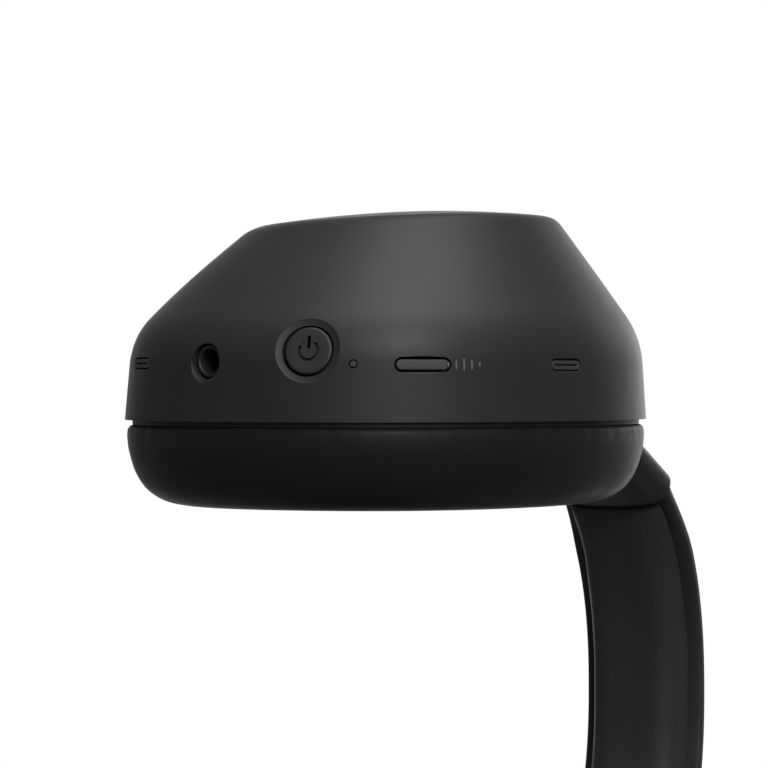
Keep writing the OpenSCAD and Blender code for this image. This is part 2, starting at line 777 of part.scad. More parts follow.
module charge_board() {
    top = -charge_size[1] / 2 + 0.1;
    color("#20402c") side(-1) in_cup() on_wall(charge_at, 0) {
        translate([-7, top - 1, -charge_in - 4]) cube([14, 1, 8.4]);
        for (x = [-4, 4]) translate([x - 1, plug_top - charge_at[1], -charge_in - 1])
            cube([2, charge_at[1] - plug_top + top - 0.99, 2]);
    }
}

// ---- The assembly ----

headband_spring();
headband_cover();
headband_cushion();
end_sleeve();  // end_sleeve_left
side(-1) end_sleeve();  // end_sleeve_right
slider_guide();  // slider_guide_left
side(-1) slider_guide();  // slider_guide_right
slider_stem();  // slider_stem_left
side(-1) slider_stem();  // slider_stem_right
hinge_tongue();  // hinge_tongue_left
side(-1) hinge_tongue();  // hinge_tongue_right
fold_arm();  // fold_arm_left
side(-1) fold_arm();  // fold_arm_right
fold_pin();  // fold_pin_left
side(-1) fold_pin();  // fold_pin_right
spindle_clip();  // spindle_clip_left
side(-1) spindle_clip();  // spindle_clip_right
hanger();  // hanger_left
side(-1) hanger();  // hanger_right
shell_left();
shell_right();
baffle();  // baffle_left
side(-1) baffle();  // baffle_right
pivot_bracket();  // pivot_bracket_left
side(-1) pivot_bracket();  // pivot_bracket_right
cushion_plate();  // cushion_plate_left
side(-1) cushion_plate();  // cushion_plate_right
ear_cushion();  // ear_cushion_left
side(-1) ear_cushion();  // ear_cushion_right
ear_mesh();  // ear_mesh_left
side(-1) ear_mesh();  // ear_mesh_right
driver_frame();  // driver_frame_left
side(-1) driver_frame();  // driver_frame_right
driver_magnet();  // driver_magnet_left
side(-1) driver_magnet();  // driver_magnet_right
diaphragm();  // diaphragm_left
side(-1) diaphragm();  // diaphragm_right
microphones();  // microphones_left
side(-1) microphones();  // microphones_right
baffle_screws();  // baffle_screws_left
side(-1) baffle_screws();  // baffle_screws_right
circuit_board();
button_switches();
power_button();
mode_button();
led_window();
jack_socket();
battery();
charge_socket();
charge_board();
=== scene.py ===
# %% [markdown]
# # Folding over-ear headphones
# A pair of matt black headphones, built around a packed mechanical model. The mechanical model
# already holds every hinge, button and inlet at its true place. This notebook gives each part
# that shows the surface that a maker would give it: soft-touch paint, thin leather, cast metal.
#
# The frame comes first. Every later size is read from it or named beside it, so a piece made here
# lands on the piece that carries it.

# %% Load the mechanical frame
import bpy
import bmesh
from math import (atan, atan2, copysign, cos, degrees, exp, hypot, pi, radians,
                  sin, sqrt, tan, tanh)
from mathutils.kdtree import KDTree
from mathutils import Matrix, Vector


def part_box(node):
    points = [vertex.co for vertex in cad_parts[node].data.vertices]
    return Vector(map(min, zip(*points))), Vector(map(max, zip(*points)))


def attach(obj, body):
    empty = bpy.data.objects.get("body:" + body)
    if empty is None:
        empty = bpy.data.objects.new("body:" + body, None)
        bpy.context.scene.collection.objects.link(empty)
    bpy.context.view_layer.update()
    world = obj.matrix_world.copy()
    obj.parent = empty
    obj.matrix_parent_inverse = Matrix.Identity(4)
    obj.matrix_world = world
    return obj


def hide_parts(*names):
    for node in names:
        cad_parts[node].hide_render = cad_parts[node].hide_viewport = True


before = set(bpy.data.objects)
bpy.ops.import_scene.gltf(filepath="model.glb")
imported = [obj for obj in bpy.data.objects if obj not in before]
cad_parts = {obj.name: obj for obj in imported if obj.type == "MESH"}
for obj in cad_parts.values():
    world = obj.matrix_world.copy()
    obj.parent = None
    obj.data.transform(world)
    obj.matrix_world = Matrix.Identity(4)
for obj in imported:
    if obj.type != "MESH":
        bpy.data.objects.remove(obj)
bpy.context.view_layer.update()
MM = 0.001
SIDES = {"left": 1, "right": -1}

# %% [markdown]
# An ear cup is drawn in its own flat coordinates: `u` to the rear, `v` up and `h` outward from
# the seam, where the housing meets the cushion. The seam's plane and the middle of the oval come
# from the housing's own box, so the two halves can't drift apart.

# %% The cup's plane and outline
shell_low, shell_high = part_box("shell_left")
SEAM_X = shell_low[0]
CUP_Z = (shell_low[2] + shell_high[2]) / 2
RIM_U = (shell_high[1] - shell_low[1]) / 2
RIM_V = (shell_high[2] - shell_low[2]) / 2
FACE_U = 22.2 * MM
FACE_V = 25.7 * MM
FACE_SHIFT = (2.2 * MM, 1.0 * MM)
SHELL_DEPTH = 30 * MM
FACE_CROWN = 1.4 * MM
FACE_TIP = tan(radians(2.4))
TIP_AIM = radians(26)
WALL_DEPTH = 12.5 * MM
WALL_DRAFT = radians(4)
SHELL_WALL = 2 * MM
SHOULDER_BEND = 4.2 * MM
EDGE_BEND = 1.6 * MM
EDGE_LIFT = 0.1 * MM
FULLNESS, FULLNESS_AIM = 0.9 * MM, radians(206)
OVAL = 2.15
SHOULDER_Q = WALL_DEPTH * tan(WALL_DRAFT) / (RIM_U - FACE_U)


def mix(a, b, t):
    """A value t of the way from a to b."""
    return a + (b - a) * t


def power_of(value, power):
    """A power that keeps the sign, for superellipses."""
    return copysign(abs(value) ** power, value)


def oval(angle, q=0.0, inset=0.0):
    """A point of the cup's outline: q is 0 at the rim and 1 at the edge of the outer face."""
    ru = mix(RIM_U, FACE_U, q) - inset
    rv = mix(RIM_V, FACE_V, q) - inset
    u = ru * power_of(cos(angle), 2 / OVAL) + q * FACE_SHIFT[0]
    v = rv * power_of(sin(angle), 2 / OVAL) + q * FACE_SHIFT[1]
    return u, v


def tipped(u, v, h, q):
    """The outer face leans a little, more the nearer it is."""
    aim = u * cos(TIP_AIM) + v * sin(TIP_AIM)
    return h + max(0.0, min(q, 1.0)) * FACE_TIP * aim


def to_world(u, v, h, hand=1):
    """Cup coordinates to the frame's own, on the left (1) or the right (-1)."""
    return Vector((hand * (SEAM_X + h), u, CUP_Z + v))


print("seam at", round(SEAM_X / MM, 2), "mm, rim",
      round(2 * RIM_U / MM), "by", round(2 * RIM_V / MM), "mm")

# %% [markdown]
# A few small helpers turn lists of points into meshes. `loft` joins rings of equal length, which is
# how moulded shells, tubes and pads are made here. `finish_mesh` merges doubles, turns the faces
# outward and marks edges sharper than a given angle, so smooth shading stays crisp at corners.
# `ride_and_finish` then gives a piece its material and the body that carries it, and hides the
# mechanical piece that it stands for.

# %% Mesh helpers
def finish_mesh(obj, sharp_deg=35, merge=1e-7):
    """Merged, turned outward and shaded smooth, with sharp corners kept."""
    bm = bmesh.new()
    bm.from_mesh(obj.data)
    bmesh.ops.remove_doubles(bm, verts=bm.verts, dist=merge)
    bmesh.ops.recalc_face_normals(bm, faces=bm.faces)
    for face in bm.faces:
        face.smooth = True
    for edge in bm.edges:
        edge.smooth = len(edge.link_faces) != 2 or edge.calc_face_angle(0) < radians(sharp_deg)
    bm.to_mesh(obj.data)
    bm.free()
    return obj


# %% New objects and lofts
def in_scene(name, data):
    """A new object in the scene, at the origin."""
    obj = bpy.data.objects.new(name, data)
    bpy.context.scene.collection.objects.link(obj)
    return obj


def new_object(name, points, faces):
    """A mesh object from points and faces."""
    mesh = bpy.data.meshes.new(name)
    mesh.from_pydata([tuple(p) for p in points], [], faces)
    mesh.validate()
    return in_scene(name, mesh)


def quads(rows, count, loop=False):
    """The faces that join rings of count points, in order; loop joins the last to the first."""
    faces = []
    for row in range(rows if loop else rows - 1):
        a, b = row * count, (row + 1) % rows * count
        faces += [(a + i, b + i, b + (i + 1) % count, a + (i + 1) % count) for i in range(count)]
    return faces


def loft(name, rings, cap_ends=False, loop=False, sharp_deg=35):
    """Joins rings of points. loop joins the last ring to the first; cap_ends closes both ends."""
    rows, count = len(rings), len(rings[0])
    faces = quads(rows, count, loop)
    if cap_ends:
        faces += [tuple(range(count)), tuple(range((rows - 1) * count, rows * count))]
    points = [point for ring in rings for point in ring]
    return finish_mesh(new_object(name, points, faces), sharp_deg)


def apply_modifiers(obj):
    """Replaces the object's mesh by what its modifiers make, and removes them."""
    graph = bpy.context.evaluated_depsgraph_get()
    mesh = bpy.data.meshes.new_from_object(obj.evaluated_get(graph))
    obj.modifiers.clear()
    old = obj.data
    obj.data = mesh
    bpy.data.meshes.remove(old)
    return obj


def mirrored(obj):
    """A copy of a left piece for the right side."""
    copy = in_scene(obj.name.replace("_left", "_right"), obj.data.copy())
    copy.data.transform(Matrix.Scale(-1, 4, Vector((1, 0, 0))))
    return finish_mesh(copy)


# %% From a mesh to a finished piece
def ride_and_finish(obj, body, material, slot_name, *nodes):
    """Gives a piece its material and its body, and hides the mechanical pieces it stands for; slot_name
    is not used.
    """
    obj.data.materials.clear()
    obj.data.materials.append(material)
    if nodes:
        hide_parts(*nodes)
    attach(obj, body)
    return obj


def both_sides(left, body, material, slot_name, node):
    """Finishes a left piece and its mirror image; {} stands for the side in the names."""
    pieces = {"left": left, "right": mirrored(left)}
    for side, piece in pieces.items():
        ride_and_finish(piece, body.format(side), material, slot_name, node.format(side))
    return pieces


# %% [markdown]
# ## Finishes
# Everything on these headphones is black, so the finishes differ in gloss and in grain, not in
# colour. Each is a short node tree on Object coordinates, so the grain keeps its size on every
# piece. Gloss values sit on the shader's own sockets.

# %% A base for every finish
def add_node(tree, kind, sockets=None, **settings):
    """A node with its settings; each socket gets a value, or a link from another node's output."""
    node = tree.nodes.new(kind)
    for setting, value in settings.items():
        setattr(node, setting, value)
    for socket, value in (sockets or {}).items():
        if isinstance(value, bpy.types.NodeSocket):
            tree.links.new(value, node.inputs[socket])
        else:
            node.inputs[socket].default_value = value
    return node


def object_place(tree):
    """The place on the piece, in its own coordinates."""
    return add_node(tree, "ShaderNodeTexCoord").outputs["Object"]


def new_finish(name, color, rough, specular=0.5, metallic=0.0, sheen=0.0):
    """A material with one shader, and its node tree for adding grain."""
    material = bpy.data.materials.new(name)
    material.use_nodes = True
    tree = material.node_tree
    shader = tree.nodes["Principled BSDF"]
    for socket, value in {"Base Color": (*color, 1), "Roughness": rough, "Metallic": metallic,
                          "Specular IOR Level": specular, "Sheen Weight": sheen,
                          "Sheen Roughness": 0.5}.items():
        shader.inputs[socket].default_value = value
    return material, tree, shader


def add_grain(tree, shader, scale, depth, kind="NOISE", stretch=(1, 1, 1)):
    """A fine bump: depth is the height of the grain in metres, scale its count per metre."""
    place = add_node(tree, "ShaderNodeMapping", {"Scale": stretch, "Vector": object_place(tree)})
    sockets = {"Vector": place.outputs["Vector"], "Scale": scale}
    if kind == "NOISE":
        grain = add_node(tree, "ShaderNodeTexNoise", {**sockets, "Detail": 3.0}).outputs["Fac"]
    else:
        grain = add_node(tree, "ShaderNodeTexVoronoi", sockets, feature="SMOOTH_F1").outputs["Distance"]
    bump = add_node(tree, "ShaderNodeBump", {"Strength": 1.0, "Distance": depth, "Height": grain})
    if shader.inputs["Normal"].is_linked:
        tree.links.new(shader.inputs["Normal"].links[0].from_socket, bump.inputs["Normal"])
    tree.links.new(bump.outputs["Normal"], shader.inputs["Normal"])


def vary(tree, shader, socket, low, high, scale):
    """Varies one socket between two values with soft noise, as handling and moulding do."""
    noise = add_node(tree, "ShaderNodeTexNoise",
                     {"Vector": object_place(tree), "Scale": scale, "Detail": 4.0})
    spread = add_node(tree, "ShaderNodeMapRange",
                      {"Value": noise.outputs["Fac"], "From Min": 0.3, "From Max": 0.7})
    if isinstance(low, tuple):
        blend = add_node(tree, "ShaderNodeMix", {"A": (*low, 1), "B": (*high, 1),
                                                 "Factor": spread.outputs["Result"]}, data_type="RGBA")
        tree.links.new(blend.outputs["Result"], shader.inputs[socket])
    else:
        spread.inputs["To Min"].default_value = low
        spread.inputs["To Max"].default_value = high
        tree.links.new(spread.outputs["Result"], shader.inputs[socket])


# %% [markdown]
# Black parts differ mostly in how they scatter light. Paint and plastic get a fine noise bump,
# leather gets the rounded cells of a Voronoi texture, and brushed steel gets noise stretched along
# one axis. Image textures could do the same, but they would need unwrapped surfaces.

# %% Soft-touch paint, leather, cloth, metal and plain plastic
def grained(name, color, rough, specular, spread, grains, **gloss):
    """A finish with one or two grains; spread is the roughness (low, high, count per metre)."""
    material, tree, shader = new_finish(name, color, rough, specular, **gloss)
    for grain in grains:
        add_grain(tree, shader, *grain)
    vary(tree, shader, "Roughness", *spread)
    return material


def soft_touch_paint():
    """The housing's paint: matt, a little uneven in tone, with a grain too fine to see as dots."""
    material = grained("soft_touch_black", (0.012, 0.012, 0.0124), 0.5, 0.16, (0.46, 0.52, 60),
                       [(9000, 0.00001)])
    tree = material.node_tree
    vary(tree, tree.nodes["Principled BSDF"], "Base Color",
         (0.0114, 0.0114, 0.0118), (0.0126, 0.0126, 0.013), 30)
    return material


def plastic(name, color=(0.008, 0.008, 0.0085), rough=0.6, specular=0.3):
    """Unpainted moulded plastic, the plain inner pieces, and the painted shade in the power symbol's
    bar.
    """
    return grained(name, color, rough, specular, (rough - 0.04, rough + 0.04, 80), [(6000, 0.000012)])


def acoustic_cloth():
    """Woven cloth: two crossed waves of threads."""
    material, tree, shader = new_finish("acoustic_cloth", (0.01, 0.01, 0.01), 0.85, 0.2, sheen=0.1)
    where = object_place(tree)
    waves = {}
    for slot, direction in enumerate(("Y", "Z")):
        wave = add_node(tree, "ShaderNodeTexWave", {"Vector": where, "Scale": 420, "Distortion": 0.6},
                        bands_direction=direction)
        waves[slot] = wave.outputs["Fac"]
    weave = add_node(tree, "ShaderNodeMath", waves, operation="MULTIPLY").outputs["Value"]
    tone = add_node(tree, "ShaderNodeMapRange", {"Value": weave, "To Min": 0.7, "To Max": 0.95})
    bump = add_node(tree, "ShaderNodeBump", {"Height": weave, "Distance": 0.00012})
    tree.links.new(tone.outputs["Result"], shader.inputs["Roughness"])
    tree.links.new(bump.outputs["Normal"], shader.inputs["Normal"])
    return material


PAINT = soft_touch_paint()
LEATHER = grained("cushion_leather", (0.006, 0.006, 0.0062), 0.55, 0.09, (0.48, 0.6, 90),
                  [(1800, 0.000018, "VORONOI"), (6000, 0.000008)], sheen=0.02)
# Painted light: the band's leather is three times lighter than the cushions', a lighter copy of the
# same black leather that stands in for light the lamps don't give the band.
BAND_SKIN = grained("band_skin", (0.018, 0.018, 0.0182), 0.5, 0.1, (0.44, 0.54, 80),
                    [(2400, 0.000016, "VORONOI")], sheen=0.02)
CASTING = grained("dark_casting", (0.03, 0.03, 0.032), 0.38, 0.5, (0.32, 0.42, 120),
                  [(4000, 0.000015)], metallic=0.6)
STEEL = grained("brushed_steel", (0.42, 0.42, 0.43), 0.3, 0.5, (0.33, 0.38, 150),
                [(900, 0.000002, "NOISE", (1, 6, 0.08))], metallic=1.0)
CLOTH = acoustic_cloth()
INNER = plastic("inner_black")
# Painted shade: a near-black matt finish for the floor of the power symbol's bar, standing in for the
# shade deep in its slot.
GROOVE_SHADE_PAINT = plastic("dark_fill", (0.002, 0.002, 0.002), 0.9, 0.0)
BUTTON = plastic("button_black", (0.013, 0.013, 0.0135), 0.48, 0.2)
BUTTON_GREY = plastic("button_grey", (0.024, 0.024, 0.025), 0.5, 0.2)
PRINT = plastic("print_grey", (0.07, 0.07, 0.07), 0.6, 0.2)
BOARD = plastic("board_green", (0.01, 0.05, 0.02), 0.4, 0.5)
CELL = plastic("cell_foil", (0.4, 0.42, 0.45), 0.35, 0.5)
FILM = plastic("film", (0.1, 0.1, 0.12), 0.25, 0.5)
LENS = plastic("lens", (0.03, 0.03, 0.03), 0.15, 0.6)
GUIDE = plastic("guide_plastic", (0.03, 0.03, 0.03), 0.5, 0.4)
print("finishes:", len(bpy.data.materials))

# %% [markdown]
# The mechanical pieces that need no other shape keep their own meshes and only get a finish. Their
# meshes arrive as loose triangles, so a Weld joins them and a small Bevel rounds their corners, as
# casting and moulding do. No modifier moves a face.

# %% Finish the mechanical pieces
FINISHED = (
    (STEEL, "headband_spring slider_stem fold_pin spindle_clip driver_magnet baffle_screws "
            "button_switches charge_socket"),
    (CASTING, "hinge_tongue fold_arm hanger pivot_bracket"),
    (INNER, "baffle cushion_plate driver_frame microphones jack_socket"),
    (PAINT, "shell end_sleeve"), (LEATHER, "ear_cushion headband_cushion"),
    (BAND_SKIN, "headband_cover"), (CLOTH, "ear_mesh"), (BUTTON, "power_button"),
    (BUTTON_GREY, "mode_button"), (LENS, "led_window"), (FILM, "diaphragm"), (GUIDE, "slider_guide"),
    (BOARD, "circuit_board charge_board"), (CELL, "battery"))
FINISH_OF = {name: finish for finish, names in FINISHED for name in names.split()}
ROUNDED = {"fold_arm": 0.5, "slider_stem": 0.15, "jack_socket": 0.2, "hanger": 0.4,
           "fold_pin": 0.3, "microphones": 0.15, "charge_socket": 0.15}


def kind_of(node):
    """A node's name without its side."""
    return node.replace("_left", "").replace("_right", "")


def soften(obj, width_mm):
    """A welded, bevelled look for a mechanical piece."""
    weld = obj.modifiers.new("weld", "WELD")
    weld.merge_threshold = 1e-6
    bevel = obj.modifiers.new("bevel", "BEVEL")
    bevel.width = width_mm * MM
    bevel.segments = 3
    bevel.limit_method = "ANGLE"
    bevel.angle_limit = radians(40)


for node_name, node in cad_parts.items():
    node.data.materials.clear()
    node.data.materials.append(FINISH_OF[kind_of(node_name)])
    if kind_of(node_name) in ROUNDED:
        soften(node, ROUNDED[kind_of(node_name)])
print("finished", len(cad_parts), "mechanical pieces")


# %% [markdown]
# ## The ear cup's housing
# The housing is one moulding: a steep wall beside the seam, a round shoulder, a cone that narrows
# towards the outer face, and a crowned oval face that leans a little. It is lofted from the same
# rule as the mechanical shell, with far more rings. The holes are then cut by Booleans, because
# a moulded hole's edge has to follow the curved wall exactly.

# %% Places on the wall
JACK = (258, 8.6)
POWER = (280.5, 10.3)
STATUS = (290.5, 8.2)
MODE = (305.5, 8.1)
FRONT_MIC = (232, 8.4)
REAR_MIC = (341.5, 8.1)
CHARGE = (271, 8.4)
POWER_LEAN = radians(15)


def wall_frame(at, lean=WALL_DRAFT, hand=1):
    """A matrix whose z runs out of the wall, y outward from the seam and x along the wall."""
    h = at[1] * MM
    q = SHOULDER_Q * h / WALL_DEPTH
    angle, step = radians(at[0]), radians(1)
    before, after = oval(angle - step, q), oval(angle + step, q)
    turn = atan2(after[1] - before[1], after[0] - before[0]) - pi / 2
    along = Vector((-sin(turn), cos(turn), 0))
    flat = Vector((cos(turn), sin(turn), 0))
    out = flat * cos(lean) + Vector((0, 0, sin(lean)))
    outward = -flat * sin(lean) + Vector((0, 0, cos(lean)))
    axes = [Vector((hand * axis[2], axis[0], axis[1])) for axis in (along, outward, out)]
    matrix = Matrix(axes).transposed().to_4x4()
    matrix.translation = to_world(*oval(angle, q), h, hand)
    return matrix


# %% The housing's profile
def bend(a, b, c, t):
    """A point on the curve from a to c that leans on b."""
    return tuple((1 - t) ** 2 * a[k] + 2 * t * (1 - t) * b[k] + t * t * c[k] for k in (0, 1))


def toward(a, b, distance):
    """A point the given distance from a towards b, in profile space."""
    run = (b[0] - a[0]) * (RIM_U - FACE_U)
    length = hypot(run, b[1] - a[1])
    return tuple(mix(a[k], b[k], distance / length) for k in (0, 1))


def blend_points(a, b, steps):
    """Points at even steps from a to b in profile space, without b."""
    return [tuple(mix(a[k], b[k], i / steps) for k in (0, 1)) for i in range(steps)]


def shell_profile(shoulder_steps, slope_steps, edge_steps):
    """Share inward and height, from the rim to the edge of the outer face."""
    foot, shoulder, edge = (0.0, 0.0), (SHOULDER_Q, WALL_DEPTH), (1.0, SHELL_DEPTH)
    below, above = toward(shoulder, foot, SHOULDER_BEND), toward(shoulder, edge, SHOULDER_BEND)
    edge_in = toward(edge, shoulder, EDGE_BEND)
    edge_out = (1 + EDGE_BEND / (RIM_U - FACE_U), SHELL_DEPTH + EDGE_LIFT)
    return (blend_points(foot, below, 8)
            + [bend(below, shoulder, above, i / shoulder_steps) for i in range(shoulder_steps)]
            + blend_points(above, edge_in, slope_steps)
            + [bend(edge_in, edge, edge_out, i / edge_steps) for i in range(edge_steps + 1)])


def fullness(angle, q):
    """The cone is a little fuller at its lower front, halfway between the shoulder and the face."""
    along = min(max((q - SHOULDER_Q) / (1 - SHOULDER_Q), 0.0), 1.0)
    return FULLNESS * sin(pi * along) * max(0.0, cos(angle - FULLNESS_AIM))

print("profile:", len(shell_profile(20, 18, 10)), "rings from the rim to the face")


# %% The housing as a hollow loft
def shell_rings(rows, crown_shares, inset, drop, around):
    """Rings up the profile and then over the crowned face."""
    angles = [2 * pi * i / around for i in range(around)]
    rings = []
    for q, h in rows:
        places = [oval(angle, q, inset - fullness(angle, q)) for angle in angles]
        rings.append([to_world(u, v, tipped(u, v, h - drop * min(q, 1), q)) for u, v in places])
    edge = [oval(angle, rows[-1][0], inset) for angle in angles]
    for share in crown_shares:
        h = SHELL_DEPTH + EDGE_LIFT + FACE_CROWN * (1 - share * share) - drop
        places = [(mix(FACE_SHIFT[0], u, share), mix(FACE_SHIFT[1], v, share)) for u, v in edge]
        rings.append([to_world(u, v, tipped(u, v, h, 1)) for u, v in places])
    return rings


def hollow_shell(name, around=336):
    """The housing as one closed mesh: down its outside, across the rim and up its inside."""
    crown = [1 - i / 16 for i in range(1, 16)]
    outer = shell_rings(shell_profile(20, 18, 10), crown, 0, 0, around)
    inner = shell_rings(shell_profile(5, 3, 3), [0.75, 0.5, 0.25], SHELL_WALL, SHELL_WALL, around)
    rings = outer[::-1] + inner
    points = [point for ring in rings for point in ring]
    faces = quads(len(rings), around)
    u, v = FACE_SHIFT
    for first, drop in ((0, 0), ((len(rings) - 1) * around, SHELL_WALL)):
        faces += [(first + i, len(points), first + (i + 1) % around) for i in range(around)]
        points.append(to_world(u, v, tipped(u, v, SHELL_DEPTH + EDGE_LIFT + FACE_CROWN - drop, 1)))
    return finish_mesh(new_object(name, points, faces))


# %% [markdown]
# A cutter is a stack of outlines along its axis: straight through the wall, then flaring by a
# tenth or two of a millimetre at the surface. That flare is the small radius that every moulded
# hole has, and it is what catches the light.

# %% Cutters for the holes
def polar(radius, angle):
    """The point at an angle and a distance from the middle."""
    return radius * cos(angle), radius * sin(angle)


def circle_outline(radius, steps=64):
    """Points round a circle."""
    return [polar(radius, 2 * pi * i / steps) for i in range(steps)]


def pill_outline(length, width, steps=64):
    """Points round a slot with round ends."""
    reach, radius = (length - width) / 2, width / 2
    points = []
    for i in range(steps):
        angle = 2 * pi * (i + 0.5) / steps
        points.append((radius * cos(angle) + copysign(reach, cos(angle)),
                       radius * sin(angle)))
    return points


def grown(outline, amount):
    """An outline moved out by an amount, along its own normals."""
    count, points = len(outline), []
    for i in range(count):
        before, after = outline[i - 1], outline[(i + 1) % count]
        tangent = Vector((after[0] - before[0], after[1] - before[1])).normalized()
        points.append((outline[i][0] + tangent.y * amount, outline[i][1] - tangent.x * amount))
    return points


def stacked(name, matrix, outline, levels):
    """A solid from one outline grown by a different amount at each height."""
    rings = [[matrix @ Vector((x, y, height * MM)) for x, y in grown(outline, amount * MM)]
             for height, amount in levels]
    return loft(name, rings, cap_ends=True)


def cut(body, cutters):
    """Cuts the cutters out of the body, one Boolean each, and deletes them."""
    for cutter in cutters:
        boolean = body.modifiers.new("hole", "BOOLEAN")
        boolean.operation = "DIFFERENCE"
        boolean.solver = "EXACT"
        boolean.object = cutter
        apply_modifiers(body)
        bpy.data.objects.remove(cutter)
    return finish_mesh(body, 28, 1e-6)


# %% Sizes of the holes
HOLE_FLARE = [(-6, 0), (-0.28, 0), (-0.16, 0.03), (-0.08, 0.1), (0.02, 0.24), (0.6, 0.9)]
POWER_D, MODE_SIZE, GAP = 6.9 * MM, (7.6 * MM, 1.5 * MM), 0.3 * MM
MIC_SIZE = (7 * MM, 1.7 * MM)
JACK_D = 5.2 * MM
CHARGE_SIZE = (9 * MM, 3.3 * MM)
NECK_HOLE, NECK_INSET = (2 * 6.3 * MM, 2 * 4.9 * MM), 0.25 * MM
SWIVEL_OFFSET = 7.6 * MM


def neck_cutter(hand):
    """The slot in the top of the wall for the hinge arm's neck."""
    matrix = Matrix(((hand, 0, 0), (0, 1, 0), (0, 0, 1))).to_4x4()
    matrix.translation = to_world(0, RIM_V - NECK_INSET, SWIVEL_OFFSET, hand)
    levels = [(-8, 0), (-0.5, 0), (0.1, 0.3), (3, 1.8)]
    return stacked("neck_cutter", matrix, pill_outline(*NECK_HOLE), levels)

print("neck's slot:", [round(size / MM, 1) for size in NECK_HOLE], "mm")


# %% The dish and the other holes
def dish_cutter(body, matrix, levels):
    """A round dish whose floor follows the wall: depth under the surface at each radius, in mm."""
    inward = -matrix.col[2].to_3d()
    inverse = matrix.inverted()

    def surface(x, y):
        """The wall's height over the matrix's plane at one place."""
        start = matrix @ Vector((x, y, 6 * MM))
        hit, place, _, _ = body.ray_cast(start, inward)
        return (inverse @ place).z if hit else 0.0

    rings = [[matrix @ Vector((x, y, 3 * MM)) for x, y in circle_outline(levels[0][0] * MM, 120)]]
    for radius, depth in levels:
        rings.append([matrix @ Vector((x, y, surface(x, y) - depth * MM))
                      for x, y in circle_outline(radius * MM, 120)])
    return loft("cutter", rings, cap_ends=True)


def hole(at, outline, lean=WALL_DRAFT, hand=1):
    """A cutter for a hole straight through the wall, flared at the surface."""
    return stacked("cutter", wall_frame(at, lean, hand), outline, HOLE_FLARE)


def mic_holes(hand):
    """Both microphone slots of one housing."""
    return [hole(at, pill_outline(*MIC_SIZE), hand=hand) for at in (FRONT_MIC, REAR_MIC)]


def left_cutters(body):
    """All the holes of the left housing."""
    power, status = wall_frame(POWER, POWER_LEAN), wall_frame(STATUS)
    dish = [(4.9, -0.16), (4.76, -0.02), (4.68, 0.05), (4.4, 0.19), (4.1, 0.32), (3.8, 0.45),
            (3.4, 0.5), (2.6, 0.5), (1.4, 0.5), (0.3, 0.5)]
    return [
        hole(MODE, pill_outline(MODE_SIZE[0] + 2 * GAP, MODE_SIZE[1] + 2 * GAP)),
        hole(JACK, circle_outline(JACK_D / 2), 0),
        *mic_holes(1),
        stacked("cutter", status, circle_outline(0.6 * MM, 32), [(-6, 0), (-0.1, 0), (0.5, 0.3)]),
        dish_cutter(body, power, dish),
        stacked("cutter", power, circle_outline(POWER_D / 2 + GAP, 96), [(-7, 0), (2, 0)]),
        neck_cutter(1),
    ]


def right_cutters():
    """The right housing has the charging inlet and two microphones, and no buttons."""
    return [hole(CHARGE, pill_outline(*CHARGE_SIZE), 0, -1), *mic_holes(-1), neck_cutter(-1)]


# %% [markdown]
# On the real headphones the two housings come from mirrored moulds. Here the left one is made once
# and mirrored, and each side then gets its own holes. The Exact solver is slow, but it leaves the
# clean edges that a moulded hole has.

# %% Mould both housings
plain_shell = hollow_shell("housing_left")
housings = {"left": plain_shell, "right": mirrored(plain_shell)}
for side, cutters in (("left", left_cutters(plain_shell)), ("right", right_cutters())):
    housing = cut(housings[side], cutters)
    ride_and_finish(housing, "cup_" + side, PAINT, "soft_touch_black", "shell_" + side)
    print(side, "housing:", len(housing.data.polygons), "faces")

# %% [markdown]
# ## Power button, mode button and lamp
# The power button is a round cap that sits in a shallow dish, so a thumb finds it without looking.
# Its rim is rounded, its top is slightly hollow, and a plain power symbol and one small pit are
# cut into it. They are real relief, because a flat print would vanish in a low light.

# %% Buttons as turned and lofted caps
POWER_TOP = -0.85
POWER_BEHIND = -4.1
MODE_TOP = -0.3
MODE_BEHIND = -2.7


def turned(name, matrix, profile, steps=96):
    """A turned solid from a list of (radius, height) in millimetres; both ends are closed."""
    rings = []
    for radius, height in profile:
        ring = circle_outline(max(radius, 0.002) * MM, steps)
        rings.append([matrix @ Vector((x, y, height * MM)) for x, y in ring])
    return loft(name, rings, cap_ends=True)


power_place = wall_frame(POWER, POWER_LEAN)
power_profile = [(0, -5.6), (1, -5.6), (1, POWER_BEHIND - 0.6), (4.35, POWER_BEHIND - 0.6),
                 (4.35, POWER_BEHIND), (3.45, POWER_BEHIND), (3.45, POWER_TOP - 0.35),
                 (3.42, POWER_TOP - 0.2), (3.34, POWER_TOP - 0.09), (3.22, POWER_TOP - 0.025),
                 (3.05, POWER_TOP), (2.4, POWER_TOP - 0.03), (1.2, POWER_TOP - 0.07),
                 (0, POWER_TOP - 0.08)]
power_key = turned("power_button_cap", power_place, power_profile)
ride_and_finish(power_key, "power_key", BUTTON, "button_black", "power_button")

mode_levels = [(MODE_BEHIND - 0.6, -0.4), (MODE_BEHIND - 0.6, 0.9), (MODE_BEHIND, 0.9),
               (MODE_BEHIND, 0), (MODE_TOP - 0.12, 0), (MODE_TOP - 0.05, -0.03),
               (MODE_TOP - 0.01, -0.09), (MODE_TOP, -0.16), (MODE_TOP, -0.6)]
mode_key = stacked("mode_button_cap", wall_frame(MODE), pill_outline(*MODE_SIZE), mode_levels)
ride_and_finish(mode_key, "mode_key", BUTTON_GREY, "button_grey", "mode_button")
print("buttons made")
